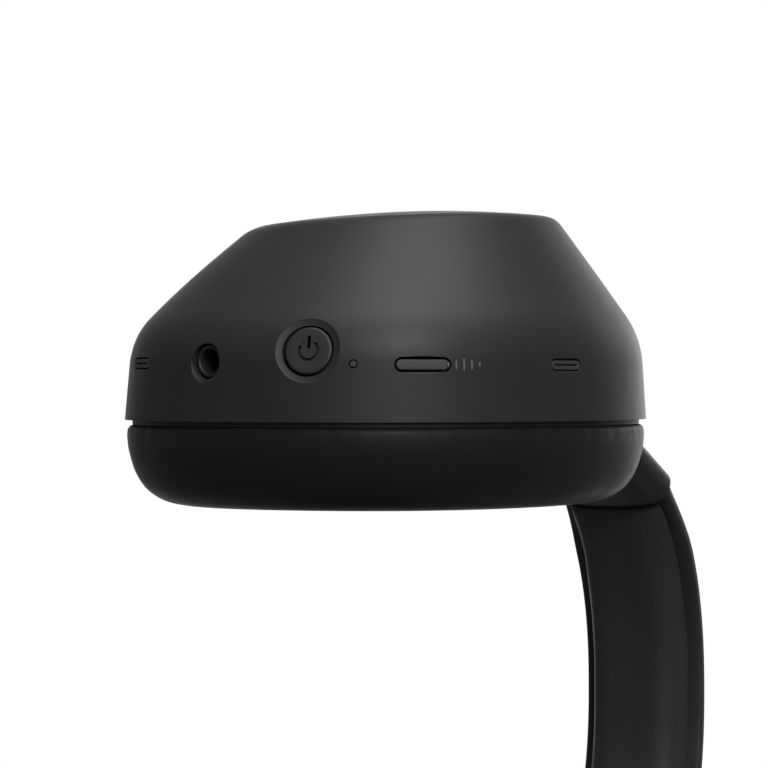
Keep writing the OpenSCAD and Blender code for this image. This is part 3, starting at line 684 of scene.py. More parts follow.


# %% [markdown]
# The symbol is an open arc and an upright bar. A texture could draw them, but a cut groove with
# sloping walls catches the light as the real one does. The bar's floor is painted near black as shade.

# %% Engraved power symbol
def arc_groove(matrix, radius, width, start_deg, end_deg, low, high, steps=48):
    """A cutter for an arc groove with round ends and sloping walls."""
    start, end, half = radians(start_deg), radians(end_deg), width / 2
    sweep = [mix(start, end, i / steps) for i in range(steps + 1)]
    turns = [pi * k / 6 for k in range(1, 6)]
    outline = [polar(radius + half, angle) for angle in sweep]
    outline += [(radius * cos(end) + half * cos(end + t),
                 radius * sin(end) + half * sin(end + t)) for t in turns]
    outline += [polar(radius - half, angle) for angle in sweep[::-1]]
    outline += [(radius * cos(start) - half * cos(start + t),
                 radius * sin(start) - half * sin(start + t)) for t in turns]
    return stacked("arc", matrix, [(x * MM, y * MM) for x, y in outline],
                   [(low, 0), (high, 0.08), (high + 0.05, 0.1), (high + 0.4, 0.2)])


def straight_groove(matrix, length, width, low, high, flare):
    """A cutter for a groove with round ends along x."""
    return stacked("groove", matrix, pill_outline(length * MM, width * MM, 32),
                   [(low, 0), (high - flare, 0), (high, flare), (high + 0.4, 0.3)])


def moved(matrix, x, y, z=0):
    """A place moved within its own axes, in millimetres."""
    return matrix @ Matrix.Translation(Vector((x * MM, y * MM, z * MM)))


UPRIGHT = Matrix.Rotation(pi / 2, 4, "Z")
ARC_RADIUS, ARC_WIDTH, ARC_FROM, ARC_TO = 1.36, 0.3, 158, 408
BAR_AT, BAR_LENGTH, BAR_WIDTH = (0, 1.22), 1.85, 0.42
PIT_AT, PIT_RADIUS = (-0.74, 1.14), 0.2 * MM
ARC_FLOOR, BAR_FLOOR, PIT_FLOOR = POWER_TOP - 0.5, POWER_TOP - 0.75, POWER_TOP - 0.22
GROOVE_HIGH = POWER_TOP - 0.05
bar_place = moved(power_place, *BAR_AT) @ UPRIGHT
pit_levels = [(PIT_FLOOR, 0), (POWER_TOP + 0.3, 0.1)]
cut(power_key, [
    arc_groove(power_place, ARC_RADIUS, ARC_WIDTH, ARC_FROM, ARC_TO, ARC_FLOOR, GROOVE_HIGH),
    straight_groove(bar_place, BAR_LENGTH, BAR_WIDTH, BAR_FLOOR, GROOVE_HIGH, 0.05),
    stacked("pit", moved(power_place, *PIT_AT), circle_outline(PIT_RADIUS, 24), pit_levels),
])

# Painted shade: the faces deep in the bar's groove get the near-black finish in place of the shade that
# a narrow slot casts.
power_key.data.materials.append(GROOVE_SHADE_PAINT)
to_place = power_place.inverted()
for face in power_key.data.polygons:
    spot = to_place @ face.center / MM
    in_shade_depth = POWER_TOP - 1 < spot.z < POWER_TOP - 0.12
    if abs(spot.x) < 0.3 and 0.2 < spot.y < 2.3 and in_shade_depth:
        face.material_index = 1

led_profile = [(0, -4), (0.46, -4), (0.46, -0.16), (0.4, -0.1), (0.2, -0.08), (0, -0.08)]
led_lens = turned("led_lens", wall_frame(STATUS), led_profile, 32)
ride_and_finish(led_lens, "cup_left", LENS, "lens", "led_window")
print("relief made")

# %% [markdown]
# ## Microphone grilles
# Behind each slot lies an insert with a slit, and in the slit a fine mesh, drawn as a row of studs.
# Geometry Nodes place them: a mesh line, one short cylinder per point, then Realize Instances. The
# same tree makes the row of detents that a slider's spring clicks into.

# %% A row made by Geometry Nodes
def row_of_studs(name, matrix, material, count, spacing, radius, height):
    """Short cylinders in a row along the matrix's x axis, centred on its origin, in metres."""
    tree = bpy.data.node_groups.new("Row of studs", "GeometryNodeTree")
    tree.interface.new_socket("Geometry", in_out="OUTPUT", socket_type="NodeSocketGeometry")
    line = add_node(tree, "GeometryNodeMeshLine", {"Count": count, "Offset": (spacing, 0, 0)})
    stud = add_node(tree, "GeometryNodeMeshCylinder",
                    {"Vertices": 16, "Radius": radius, "Depth": height})
    copies = add_node(tree, "GeometryNodeInstanceOnPoints",
                      {"Points": line.outputs["Mesh"], "Instance": stud.outputs["Mesh"]})
    plain = add_node(tree, "GeometryNodeRealizeInstances", {"Geometry": copies.outputs["Instances"]})
    paint = add_node(tree, "GeometryNodeSetMaterial",
                     {"Geometry": plain.outputs["Geometry"], "Material": material})
    add_node(tree, "NodeGroupOutput", {"Geometry": paint.outputs["Geometry"]})
    holder = new_object(name, [(0, 0, 0)], [])
    holder.modifiers.new("row", "NODES").node_group = tree
    apply_modifiers(holder)
    holder.data.transform(matrix @ Matrix.Translation(Vector((-spacing * (count - 1) / 2, 0, 0))))
    return finish_mesh(holder)


# %% Microphone inserts
MIC_TOP, INSERT_GAP = -0.16, 0.18 * MM
SLIT_LENGTH, SLIT_WIDTH = 5.3, 0.26
MESH_STUDS = (16, 0.32 * MM, 0.11 * MM, 0.2 * MM)


def mic_grille(name, at, hand, side):
    """The insert in a microphone slot: two bars with a slit between them, and mesh in the slit."""
    place = wall_frame(at, WALL_DRAFT, hand)
    outline = pill_outline(*(size - 2 * INSERT_GAP for size in MIC_SIZE))
    insert = stacked(name, place, outline, [(-2.4, 0), (MIC_TOP - 0.1, 0), (MIC_TOP - 0.04, -0.02),
                                            (MIC_TOP, -0.09), (MIC_TOP + 0.005, -0.3)])
    cut(insert, [straight_groove(place, SLIT_LENGTH, SLIT_WIDTH, MIC_TOP - 0.5, MIC_TOP, 0.06)])
    ride_and_finish(insert, "cup_" + side, BUTTON_GREY, "inner_black", "microphones_" + side)
    mesh = row_of_studs(name + "_mesh", moved(place, 0, 0, MIC_TOP - 0.45), INNER, *MESH_STUDS)
    ride_and_finish(mesh, "cup_" + side, INNER, "inner_black")


for side, hand in SIDES.items():
    for label, at in (("front", FRONT_MIC), ("rear", REAR_MIC)):
        mic_grille(f"mic_grille_{label}_{side}", at, hand, side)
print("grilles made")


# %% [markdown]
# The jack is one turned barrel: its bore, a ring round it, a dark step, and the socket behind.

# %% Headphone jack
jack_profile = [(1.75, -15), (1.8, -14.9), (1.8, -1.08), (1.92, -0.93), (2.08, -0.9), (2.2, -0.93),
                (2.28, -1.05), (2.3, -1.9), (2.62, -1.9), (2.7, -2.0), (2.7, -4.6), (3.4, -4.6),
                (3.4, -16)]
jack = turned("jack_barrel", wall_frame(JACK, 0), jack_profile, 72)
ride_and_finish(jack, "cup_left", INNER, "inner_black", "jack_socket")
print("jack made")


# %% [markdown]
# Beside the long button stand five plain printed bars. Ink is almost flat, so they are thin solids
# that stand two hundredths of a millimetre proud of the paint, and they need no texture.

# %% Printed marks
def upright_bars(name, at, width, spots):
    """Flat upright printed bars, a hair proud of the paint: spots are (along, length) in mm."""
    points, faces = [], []
    for along, length in spots:
        bar = stacked("bar", moved(wall_frame(at), along, 0) @ UPRIGHT,
                      pill_outline(length * MM, width * MM, 16),
                      [(-0.25, 0), (0.012, 0), (0.02, -0.01)])
        faces += [tuple(len(points) + i for i in face.vertices) for face in bar.data.polygons]
        points += [v.co.copy() for v in bar.data.vertices]
        bpy.data.meshes.remove(bar.data)
    return finish_mesh(new_object(name, points, faces))


MARKS_AT, MARK_WIDTH = (314.6, 8.1), 0.26
MARKS = [(-2.4, 0.7), (-1.2, 1.3), (0, 1.7), (1.2, 1.3), (2.4, 0.7)]
mode_marks = upright_bars("mode_marks", MARKS_AT, MARK_WIDTH, MARKS)
ride_and_finish(mode_marks, "cup_left", PRINT, "soft_touch_black")
print("marks made")

# %% [markdown]
# ## Ear cushions
# An ear cushion is a ring of soft foam in thin leather. Its outer side is round, its face is nearly
# flat with a soft crown, and its inner side drops steeply to the ear's hollow. Where the leather
# is pulled over the plate it gathers into fine, short pleats.
#
# The ring is lofted from a smooth section, and Blender's Cloth then inflates it a little, so that
# the foam pushes the leather out between the seams as it does in a real cushion.

# %% A smooth closed section
SEAM_GAP = 0.7
CUSHION_KNOTS = [(3.6, -0.75), (1.6, -0.72), (0.75, -1.0), (0.4, -1.9), (0.42, -4.6), (1.05, -7.6),
                 (2.7, -10.5), (5.2, -12.3), (8.2, -13.0), (11.0, -12.9), (13.4, -11.9), (15.2, -9.8),
                 (15.9, -6.6), (15.6, -3.4), (15.3, -1.95), (9.5, -1.95), (3.9, -1.95)]


def smooth_closed(knots, steps):
    """A closed smooth curve through knots, with the given number of points between two knots."""
    count, points = len(knots), []
    for i in range(count):
        a, b, c, d = (knots[(i + k) % count] for k in (-1, 0, 1, 2))
        for s in range(steps):
            t = s / steps
            points.append(tuple(0.5 * (2 * b[k] + (c[k] - a[k]) * t
                                       + (2 * a[k] - 5 * b[k] + 4 * c[k] - d[k]) * t * t
                                       + (3 * b[k] - a[k] - 3 * c[k] + d[k]) * t ** 3) for k in (0, 1)))
    return points

print("cushion's section:", len(smooth_closed(CUSHION_KNOTS, 6)), "points")


# %% Pleats, seams and the ring
def eased(value):
    """A value held between 0 and 1, with a soft start and end."""
    value = min(max(value, 0.0), 1.0)
    return value * value * (3 - 2 * value)


def pleat(angle, inset, h):
    """How far the leather stands out at a place, in millimetres: short pleats at both seams."""
    outer = exp(-((h + 1.6) / 1.3) ** 2) * (1 if inset < 6 else 0)
    inner = exp(-((h + 3.2) / 2.6) ** 2) * (1 if inset > 13 else 0)
    wave = (sin(74 * angle + 1.3 * sin(5 * angle))
            + 0.6 * sin(41 * angle + 2.1 * sin(3 * angle)))
    slow = sin(3 * angle + 0.7) * 0.5 + sin(7 * angle + 2.2) * 0.5
    return 0.035 * outer * wave + 0.13 * inner * wave + 0.07 * slow * (1 if h < -3 else 0)


def drawn_in(section, amount, middle, fixed):
    """A section with its free points moved towards its middle, so it has room to swell."""
    result = []
    for point in section:
        away = Vector(point) - Vector(middle)
        result.append(tuple(Vector(point) - away.normalized() * amount * (1 - fixed(point))))
    return result


def cushion_sewn(point):
    """1 where the section is sewn to the plate, falling to 0 where the leather is free."""
    return 1 - eased((-2.0 - point[1]) / 5.0)


def ear_cushion(name, around=300, steps=6):
    """The cushion's ring as a lofted tube, closed both ways, and the points that are sewn down."""
    section = drawn_in(smooth_closed(CUSHION_KNOTS, steps), CUSHION_SWELL, (8, -6.5), cushion_sewn)
    rings, sewn = [], []
    for inset, h in section:
        h = min(h, -SEAM_GAP - 0.02)
        ring = []
        for i in range(around):
            angle = 2 * pi * i / around
            out = pleat(angle, inset, h)
            shift = out if inset < 9 else -out
            u, v = oval(angle, 0, (inset - shift) * MM)
            ring.append(to_world(u, v, h * MM))
        rings.append(ring)
        if h > -2.3:
            sewn += ring
    return loft(name, rings, loop=True, sharp_deg=60), sewn


# %% [markdown]
# Foam pushes the leather out between its seams. Sculpting could draw that, but Cloth finds it: the
# sewn points are pinned, pressure stands for the foam, and gravity is off. A coarse copy is
# simulated at 20 times its size, because Cloth works badly on very small things.

# %% Let Cloth inflate a coarse copy, and move the fine mesh with it
SIM_SCALE, SIM_FRAMES, PRESSURE = 20, 20, 4.0
SEWN_REACH, MOVE_REACH, NEIGHBOURS = 0.02 * MM, 1.6 * MM, 10
CUSHION_SWELL, PAD_SWELL = 0.4, 0.45
CUSHION_CAP, PAD_CAP = 0.5, 0.55


def cloth_modifier(obj, pinned):
    """Thin leather over foam: the foam is the pressure, and gravity is off."""
    group = obj.vertex_groups.new(name="sewn")
    group.add(pinned, 1.0, "REPLACE")
    cloth = obj.modifiers.new("Cloth", "CLOTH")
    settings = cloth.settings
    for key, value in {"quality": 6, "mass": 0.2, "tension_stiffness": 12,
                       "compression_stiffness": 12, "shear_stiffness": 6, "bending_stiffness": 0.6,
                       "use_pressure": True, "uniform_pressure_force": PRESSURE,
                       "vertex_group_mass": group.name}.items():
        setattr(settings, key, value)
    settings.effector_weights.gravity = 0
    cloth.point_cache.frame_start, cloth.point_cache.frame_end = 1, SIM_FRAMES


def search_tree(points):
    """A tree that finds the nearest of the points."""
    tree = KDTree(len(points))
    for i, point in enumerate(points):
        tree.insert(point, i)
    tree.balance()
    return tree


def inflate(fine, coarse, sewn, cap):
    """Simulates the coarse copy at a large scale and moves the fine mesh as it moved."""
    rest = [v.co.copy() for v in coarse.data.vertices]
    near = search_tree(sewn)
    pinned = [i for i, point in enumerate(rest) if near.find(point)[2] < SEWN_REACH]
    coarse.data.transform(Matrix.Scale(SIM_SCALE, 4))
    cloth_modifier(coarse, pinned)
    for step in range(1, SIM_FRAMES + 1):
        bpy.context.scene.frame_set(step)
    swollen = coarse.evaluated_get(bpy.context.evaluated_depsgraph_get())
    moves = [v.co / SIM_SCALE - old for v, old in zip(swollen.data.vertices, rest)]
    longest = max(move.length for move in moves) / MM
    limit = cap * MM
    moves = [move * (limit * tanh(move.length / limit) / max(move.length, 1e-9))
             for move in moves]
    bpy.context.scene.frame_set(1)
    bpy.data.objects.remove(coarse)
    tree = search_tree(rest)
    for v in fine.data.vertices:
        found = tree.find_n(v.co, NEIGHBOURS)
        weights = [exp(-(distance / MOVE_REACH) ** 2) + 1e-9 for _, _, distance in found]
        move = sum((moves[i] * w for (_, i, _), w in zip(found, weights)), Vector())
        v.co += move / sum(weights)
    fine.data.update()
    print(fine.name, "swelled by up to", round(longest, 2), "mm before the cap of", cap, "mm,",
          len(pinned), "points sewn")


left_cushion = ear_cushion("ear_cushion_leather_left")[0]
inflate(left_cushion, *ear_cushion("cushion_to_inflate", 110, 2), cap=CUSHION_CAP)
for cushion in both_sides(left_cushion, "cup_{}", LEATHER, "leather_black", "ear_cushion_{}").values():
    print(cushion.name, len(cushion.data.polygons), "faces")

# %% [markdown]
# ## Cloth over the driver
# At the bottom of the ear's hollow a disc of thin woven cloth is stretched over the sound outlet.
# It is one lofted disc, slightly bulged by the foam behind it.

# %% Stretched cloth
CLOTH_INSET, CLOTH_BULGE, CLOTH_THICK, CLOTH_DEPTH = 15.4, 0.55, 0.35, 0.45


def cloth_ring(share, level, around):
    """One ring of the cloth: share is 1 at its edge."""
    share = max(share, 0.004)
    h = (-SEAM_GAP - CLOTH_DEPTH - CLOTH_BULGE * (1 - share * share) + level) * MM
    places = [oval(2 * pi * i / around, 0, CLOTH_INSET * MM) for i in range(around)]
    return [to_world(u * share, v * share, h) for u, v in places]


def stretched_cloth(name, around=160, rows=24):
    """A thin closed disc of cloth: a top skin, a bottom skin and an edge."""
    front = [cloth_ring(i / rows, 0.0, around) for i in range(rows + 1)]
    back = [cloth_ring(i / rows, CLOTH_THICK, around) for i in range(rows, -1, -1)]
    return loft(name, front + back, cap_ends=True)


cloths = both_sides(stretched_cloth("driver_cloth_left"), "cup_{}", CLOTH, "mesh_black", "ear_mesh_{}")

# %% [markdown]
# ## Headband
# The arch is a superellipse that runs into two straight, leaning legs. The outer skin wraps a steel
# spring, and a soft pad lies under the crown. Both are sections swept along the arch.

# %% The arch
BAND_HALF_SPAN, BAND_ARCH, BAND_POWER = 54.5, 75.0, 2.3
BAND_RISE = 109.5
LEG_LEAN = radians(28)
ARCH_LOW = CUP_Z / MM + BAND_RISE - BAND_ARCH
SPRING_T = 0.9
COVER_THICK = 3.6
BAND_HALF_WIDTH = 11.4
PAD_THICK = 6.0


def arch_point(t):
    """A point of the arch's middle line at angle t, in millimetres."""
    x = BAND_HALF_SPAN * power_of(cos(t), 2 / BAND_POWER)
    return Vector((x, 0, ARCH_LOW + BAND_ARCH * sin(t) ** (2 / BAND_POWER)))


def arch_normal(t):
    """The outward normal of the arch at angle t."""
    power = 2 * (BAND_POWER - 1) / BAND_POWER
    return Vector((power_of(cos(t), power) / BAND_HALF_SPAN, 0,
                   sin(t) ** power / BAND_ARCH)).normalized()


ARCH_SLOPE = tan(LEG_LEAN) * BAND_ARCH / BAND_HALF_SPAN
LEG_T = atan(ARCH_SLOPE ** (BAND_POWER / (2 * (BAND_POWER - 1))))
LEG_TOP = arch_point(LEG_T)
LEG_UP = Vector((-sin(LEG_LEAN), 0, cos(LEG_LEAN)))
LEG_OUT = Vector((cos(LEG_LEAN), 0, sin(LEG_LEAN)))
PIN_RISE, KNUCKLE, SLEEVE_GAP = 55.0, 5.0, 5.2
SLIDER_TRAVEL, ENGAGED = 26.0, 8.0
LEG_LENGTH = (LEG_TOP.z - CUP_Z / MM - PIN_RISE) / cos(LEG_LEAN)
SLEEVE_END = LEG_LENGTH - KNUCKLE - SLEEVE_GAP
SLEEVE_TOP = SLIDER_TRAVEL + ENGAGED - SLEEVE_END + 1


def angle_where(reach):
    """The angle at which the arch has risen a given distance above the leg's top, along the leg."""
    low, high = LEG_T, radians(80)
    for _ in range(30):
        middle = (low + high) / 2
        if (arch_point(middle) - LEG_TOP).dot(LEG_UP) < reach:
            low = middle
        else:
            high = middle
    return low


ARCH_START = angle_where(SLEEVE_TOP + 0.1)
PAD_START = ARCH_START + radians(1.5)
print("arch starts at", round(degrees(ARCH_START), 1), "degrees")


# %% [markdown]
# The cover and the pad are each one section, carried along the arch and set square to it. A curve
# with a bevel object could do this too, but a loft lets the section change on its way.

# %% Sweep a section along the arch
def across_arch(start, share, section):
    """A section's points, (height off the line, place across) in mm, at one place of the arch."""
    t = mix(start, pi - start, share)
    middle, normal = arch_point(t), arch_normal(t)
    return [(middle + normal * out + Vector((0, across, 0))) * MM for out, across in section]


def swept(name, start, section_at, steps):
    """A closed solid along the arch; section_at(share) gives the section at each place."""
    rings = [across_arch(start, i / steps, section_at(i / steps)) for i in range(steps + 1)]
    return loft(name, rings, cap_ends=True, sharp_deg=50)


def rounded_closed(knots, steps=8):
    """A smooth closed section from its half, mirrored across the band's middle."""
    return smooth_closed(knots + [(out, -across) for out, across in reversed(knots)], steps)


# %% The cover
cover_low, cover_top = SPRING_T / 2 - 0.4, SPRING_T / 2 + COVER_THICK
cover_knots = ((0, 6.0), (0.0125, 0.7), (0.3, 0), (0.62, 0.4), (0.86, 1.8), (0.97, 4.2), (1, 7.5))
cover_section = rounded_closed([(mix(cover_low, cover_top, rise), BAND_HALF_WIDTH - inset)
                                for rise, inset in cover_knots])


COVER_TUCK, TUCK_REACH = 0.93, 0.2


def tucked_cover(share):
    """The cover's section, drawn in at both ends so that it runs into the sleeves."""
    full = mix(COVER_TUCK, 1.0, eased(min(share, 1 - share) / TUCK_REACH))
    return [(max(out, 0) * full + min(out, 0), across * full) for out, across in cover_section]


cover = swept("headband_skin", ARCH_START, tucked_cover, 180)
ride_and_finish(cover, "headband", BAND_SKIN, "band_skin", "headband_cover")

print("cover:", len(cover.data.polygons), "faces")


# %% The pad
def pad_section(share, steps):
    """The pad thins to its ends and is drawn in at its sides."""
    rise = sin(pi * share) ** 0.5
    depth = mix(1.5, PAD_THICK, rise)
    full = (BAND_HALF_WIDTH - 1.7) * mix(0.9, 1.0, rise)
    top = -SPRING_T / 2 + 0.15
    half = [(top, full * 0.5), (top, full - 0.9), (top - 0.28 * depth, full),
            (top - 0.58 * depth, full - 0.35), (top - 0.84 * depth, full * 0.84),
            (top - 0.97 * depth, full * 0.6), (top - depth, full * 0.3)]
    middle = (top - 0.5 * depth, 0)
    return drawn_in(rounded_closed(half, steps), PAD_SWELL * min(1.0, depth / 4), middle, pad_sewn)


def pad_sewn(point):
    """1 where the section is glued to the spring's cover, falling to 0 where it is free."""
    return 1 - min(max((-SPRING_T / 2 - 0.2 - point[0]) / 1.2, 0.0), 1.0)


def pad_held_points(steps, section_steps):
    """The glued points along the arch, and both ends of the pad."""
    held = []
    for i in range(steps + 1):
        section = [point for point in pad_section(i / steps, section_steps)
                   if pad_sewn(point) > 0.8 or i in (0, steps)]
        held += across_arch(PAD_START, i / steps, section)
    return held


pad = swept("headband_pad", PAD_START, lambda share: pad_section(share, 8), 140)
rows, fineness = 90, 2
coarse_pad = swept("pad_to_inflate", PAD_START, lambda share: pad_section(share, fineness), rows)
inflate(pad, coarse_pad, pad_held_points(rows, fineness), cap=PAD_CAP)
# The pad gets the band's lighter leather instead of the cushions': painted light on the crown.
ride_and_finish(pad, "headband", BAND_SKIN, "leather_black", "headband_cushion")
print("headband made")

# %% [markdown]
# ## End sleeves
# Each end of the band is held by a moulded sleeve that the slider runs in. It tapers down to the
# slider, with large soft corners, and it is open at its lower end. A superellipse section gives
# the corners, and the sleeve is lofted with its inner wall in one closed mesh.

# %% Lofted sleeves
GUIDE_HALF = (2.1 + 0.1, 6.2 + 0.1)
FOOT_HALF, HEAD_HALF = (3.5, 7.4), (4.3, BAND_HALF_WIDTH - 0.4)
SLEEVE_POWER, GUIDE_POWER, END_ROUND = 2.8, 9.0, 0.9


def sleeve_ring(height, half_t, half_w, power, steps=96):
    """A ring across the leg at a height along it: half thickness, half width and fullness."""
    ring = []
    for i in range(steps):
        angle = 2 * pi * (i + 0.5) / steps
        out = half_t * power_of(cos(angle), 2 / power)
        across = half_w * power_of(sin(angle), 2 / power)
        ring.append((LEG_TOP + LEG_UP * height + LEG_OUT * out + Vector((0, across, 0))) * MM)
    return ring


def end_sleeve(name):
    """The sleeve, outside from bottom to top, then down inside its opening."""
    low, top = -SLEEVE_END, SLEEVE_TOP
    rings = []
    for step in range(41):
        share = step / 40
        height = mix(low, top, share)
        edge = max(0.0, min(1.0, (height - low) / END_ROUND, (top - height) / END_ROUND))
        round_in = 0.5 * (1 - sqrt(1 - (1 - edge) ** 2))
        half_t = mix(FOOT_HALF[0], HEAD_HALF[0], share) - round_in
        half_w = mix(FOOT_HALF[1], HEAD_HALF[1], share ** 0.7) - round_in
        rings.append(sleeve_ring(height, half_t, half_w, SLEEVE_POWER))
    inner = [sleeve_ring(height, *GUIDE_HALF, GUIDE_POWER) for height in (top - 1, low + 3, low)]
    return loft(name, rings + inner, loop=True)


both_sides(end_sleeve("band_sleeve_left"), "headband", PAINT, "soft_touch_black", "end_sleeve_{}")
print("sleeves made")

# %% [markdown]
# The mechanical hinge piece has a collar that is as wide as the sleeve's end. Its casting draws
# that collar in to the sleeve's own curve, and its edges are rounded as a casting's are.

# %% The casting below each sleeve
COLLAR_HALF = (3.5 * MM, 7.2 * MM)


def leg_axes(hand):
    """One leg's top, its way up and its way out."""
    return [Vector((hand * axis.x, 0, axis.z)) for axis in (LEG_TOP, LEG_UP, LEG_OUT)]


def tongue_casting(side, hand):
    """The hinge's tongue with a narrower collar, whose edges are then rounded."""
    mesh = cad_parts["hinge_tongue_" + side].data
    points = [v.co.copy() for v in mesh.vertices]
    top, _, outward = leg_axes(hand)
    above = CUP_Z + (PIN_RISE + KNUCKLE + 0.3) * MM
    for point in points:
        if abs(point.y) > COLLAR_HALF[1]:
            point.y = copysign(COLLAR_HALF[1], point.y)
        out = (point - top * MM).dot(outward)
        if point.z > above and abs(out) > COLLAR_HALF[0]:
            point -= outward * (out - copysign(COLLAR_HALF[0], out))
    casting = new_object("tongue_casting_" + side, points, [tuple(f.vertices) for f in mesh.polygons])
    soften(casting, 0.6)
    ride_and_finish(casting, "slider_" + side, CASTING, "cast_dark", "hinge_tongue_" + side)


for side, hand in SIDES.items():
    tongue_casting(side, hand)
print("castings made")

# %% [markdown]
# ## Detents on the sliders
# Each steel stem has a row of shallow round marks that a spring clicks into, so the band keeps its
# length. They show only when the slider is pulled out.

# %% Detents
DETENTS = (12, 2.2 * MM, 0.55 * MM, 0.05 * MM)
DETENT_RISE, STEM_FACE = 2.0, 0.8
for side, hand in SIDES.items():
    top, axis_x, axis_z = leg_axes(hand)
    place = Matrix((axis_x, axis_z.cross(axis_x), axis_z)).transposed().to_4x4()
    place.translation = (top + axis_x * DETENT_RISE + axis_z * STEM_FACE) * MM
    detents = row_of_studs("stem_detents_" + side, place, CASTING, *DETENTS)
    ride_and_finish(detents, "slider_" + side, CASTING, "cast_dark")
print("detents made")

# %% [markdown]
# ## Floor, light and camera
# The floor is plain and pale. The camera of this picture is under the headphones, so the floor must
# not hide them: its material lets rays through from below, and it lets light through both ways.
# To a camera above it is an ordinary floor with a soft shadow, and it fades into the white backdrop.

# %% Floor
FLOOR_HALF, FADE_FROM, FADE_TO = 3.0, 0.12, 0.6


def one_way_floor():
    """A white floor from above that can't be seen from below."""
    material = bpy.data.materials.new("floor_white")
    material.use_nodes = True
    tree = material.node_tree
    tree.nodes.clear()
    away = add_node(tree, "ShaderNodeVectorMath", {0: object_place(tree)}, operation="LENGTH")
    fade = add_node(tree, "ShaderNodeMapRange", {
        "Value": away.outputs["Value"], "From Min": FADE_FROM, "From Max": FADE_TO},
        interpolation_type="SMOOTHSTEP")
    pale = add_node(tree, "ShaderNodeBsdfDiffuse", {"Color": (0.82, 0.82, 0.82, 1)})
    white = add_node(tree, "ShaderNodeEmission")
    sweep = add_node(tree, "ShaderNodeMixShader", {
        "Fac": fade.outputs["Result"], 1: pale.outputs["BSDF"], 2: white.outputs["Emission"]})
    seen = add_node(tree, "ShaderNodeLightPath").outputs["Is Camera Ray"]
    not_seen = add_node(tree, "ShaderNodeMath", {0: 1.0, 1: seen}, operation="SUBTRACT")
    below = add_node(tree, "ShaderNodeNewGeometry").outputs["Backfacing"]
    through = add_node(tree, "ShaderNodeMath", {0: below, 1: not_seen.outputs["Value"]},
                       operation="MAXIMUM")
    clear = add_node(tree, "ShaderNodeBsdfTransparent")
    blend = add_node(tree, "ShaderNodeMixShader", {
        "Fac": through.outputs["Value"], 1: sweep.outputs["Shader"], 2: clear.outputs["BSDF"]})
    add_node(tree, "ShaderNodeOutputMaterial", {"Surface": blend.outputs["Shader"]})
    return material


corners = [(x * FLOOR_HALF, y * FLOOR_HALF, 0) for x, y in ((-1, -1), (1, -1), (1, 1), (-1, 1))]
floor = new_object("floor", corners, [(0, 1, 2, 3)])
floor.data.materials.append(one_way_floor())
print("floor:", 2 * FLOOR_HALF, "m square, white from", FADE_TO, "m")


# %% [markdown]
# The backdrop is white to the camera. A mirror sees it where it is, behind the headphones, and sees
# a dimmer room everywhere else: that is what keeps the edges of a black object black, as the
# black cards at the sides of a studio table do.

# %% World
TILT_DOWN = radians(26)
VIEW_DIR = Vector((0, -sin(TILT_DOWN), cos(TILT_DOWN)))
IMAGE_RIGHT = Vector((0, cos(TILT_DOWN), sin(TILT_DOWN)))
IMAGE_UP = Vector((1, 0, 0))


def studio_world(ambient, room):
    """White to the camera, a backdrop and a dim room to mirrors, and a dim even light for the rest."""
    world = bpy.data.worlds.new("studio")
    bpy.context.scene.world = world
    world.use_nodes = True
    tree = world.node_tree
    facing = add_node(tree, "ShaderNodeVectorMath", {
        0: add_node(tree, "ShaderNodeTexCoord").outputs["Generated"], 1: VIEW_DIR},
        operation="DOT_PRODUCT")
    backdrop = add_node(tree, "ShaderNodeMapRange", {
        "Value": facing.outputs["Value"], "From Min": 0.82, "From Max": 0.96, "To Min": room,
        "To Max": 1.0}, interpolation_type="SMOOTHSTEP")
    ray = add_node(tree, "ShaderNodeLightPath").outputs
    mirror = add_node(tree, "ShaderNodeMath", {0: ray["Is Glossy Ray"], 1: ray["Is Transmission Ray"]},
                      operation="MAXIMUM")
    lit = add_node(tree, "ShaderNodeMix", {"Factor": mirror.outputs["Value"], "A": ambient,
                                           "B": backdrop.outputs["Result"]})
    strength = add_node(tree, "ShaderNodeMix", {"Factor": ray["Is Camera Ray"],
                                                "A": lit.outputs["Result"], "B": 1.0})
    back = tree.nodes["Background"]
    back.inputs["Color"].default_value = (1, 1, 1, 1)
    tree.links.new(strength.outputs["Result"], back.inputs["Strength"])


studio_world(ambient=0.2, room=0.25)
print("world set")


# %% [markdown]
# Area lamps stand for softboxes. Two on the face's side give the cone its broad soft light, two
# near the camera light the wall and the shoulder, and three weak ones draw the far edges.

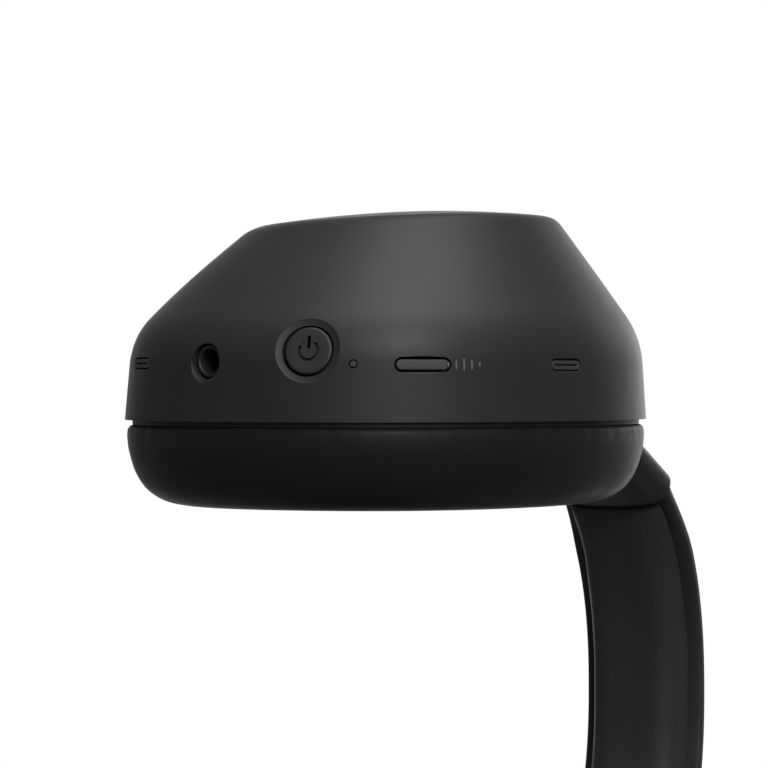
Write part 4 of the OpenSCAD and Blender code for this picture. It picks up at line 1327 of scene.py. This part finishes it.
# %% Lamps
def softbox(name, place, target, size, watts):
    """A square area lamp that looks at a point."""
    lamp = bpy.data.lights.new(name, "AREA")
    lamp.shape = "RECTANGLE"
    lamp.size, lamp.size_y = size
    lamp.energy = watts
    obj = in_scene(name, lamp)
    obj.location = place
    obj.rotation_euler = (Vector(target) - Vector(place)).to_track_quat("-Z", "Y").to_euler()


CUP_MIDDLE = Vector((SEAM_X, 0, CUP_Z))


def around_cup(up, near, right):
    """A place 1 m from the left cup: up out of its face, near to the camera, right to the rear."""
    return CUP_MIDDLE + (IMAGE_UP * up - VIEW_DIR * near + IMAGE_RIGHT * right).normalized()


for name, place, size, watts in (("face_strip", (0.98, 0.08, 0.17), (0.2, 0.7), 4.7),
                                 ("face_softbox", (0.98, 0.08, 0.17), (0.8, 0.8), 8.6),
                                 ("near_strip", (0.3, 0.9, 0.3), (0.15, 0.5), 3.4),
                                 ("shoulder_strip", (0.62, 0.75, 0.22), (0.2, 0.4), 8.3),
                                 ("rear_edge", (0.1, -0.85, 0.5), (0.3, 0.5), 1.1),
                                 ("low_softbox", (-0.9, -0.25, 0.05), (0.7, 0.5), 1.5)):
    softbox(name, around_cup(*place), CUP_MIDDLE, size, watts)
softbox("top_softbox", Vector((0.1, -0.3, 1.1)), Vector((0, 0, 0.08)), (0.9, 0.9), 2.5)
print("lamps set")

# %% [markdown]
# The camera looks at the left cup from below, with the cup's face turned up in the picture. A long
# lens from a short way off keeps the cup's straight lines almost parallel.

# %% Camera
DISTANCE, SENSOR_MM, LENS_MM = 0.45, 36, 136.9
AIM_UP, AIM_LEFT = 5.37 * MM, 0.8 * MM
aim = CUP_MIDDLE + Vector((AIM_UP, 0, 0)) - AIM_LEFT * IMAGE_RIGHT
camera_data = bpy.data.cameras.new("camera")
camera_data.sensor_width = SENSOR_MM
camera_data.lens = LENS_MM
camera_data.clip_start = 0.01
camera = in_scene("camera", camera_data)
turn = Matrix((IMAGE_RIGHT, IMAGE_UP, -VIEW_DIR)).transposed().to_4x4()
turn.translation = aim - DISTANCE * VIEW_DIR
camera.matrix_world = turn
bpy.context.scene.camera = camera
bpy.context.scene.view_settings.view_transform = "Standard"
print("camera:", DISTANCE, "m from the cup with a lens of", LENS_MM, "mm")
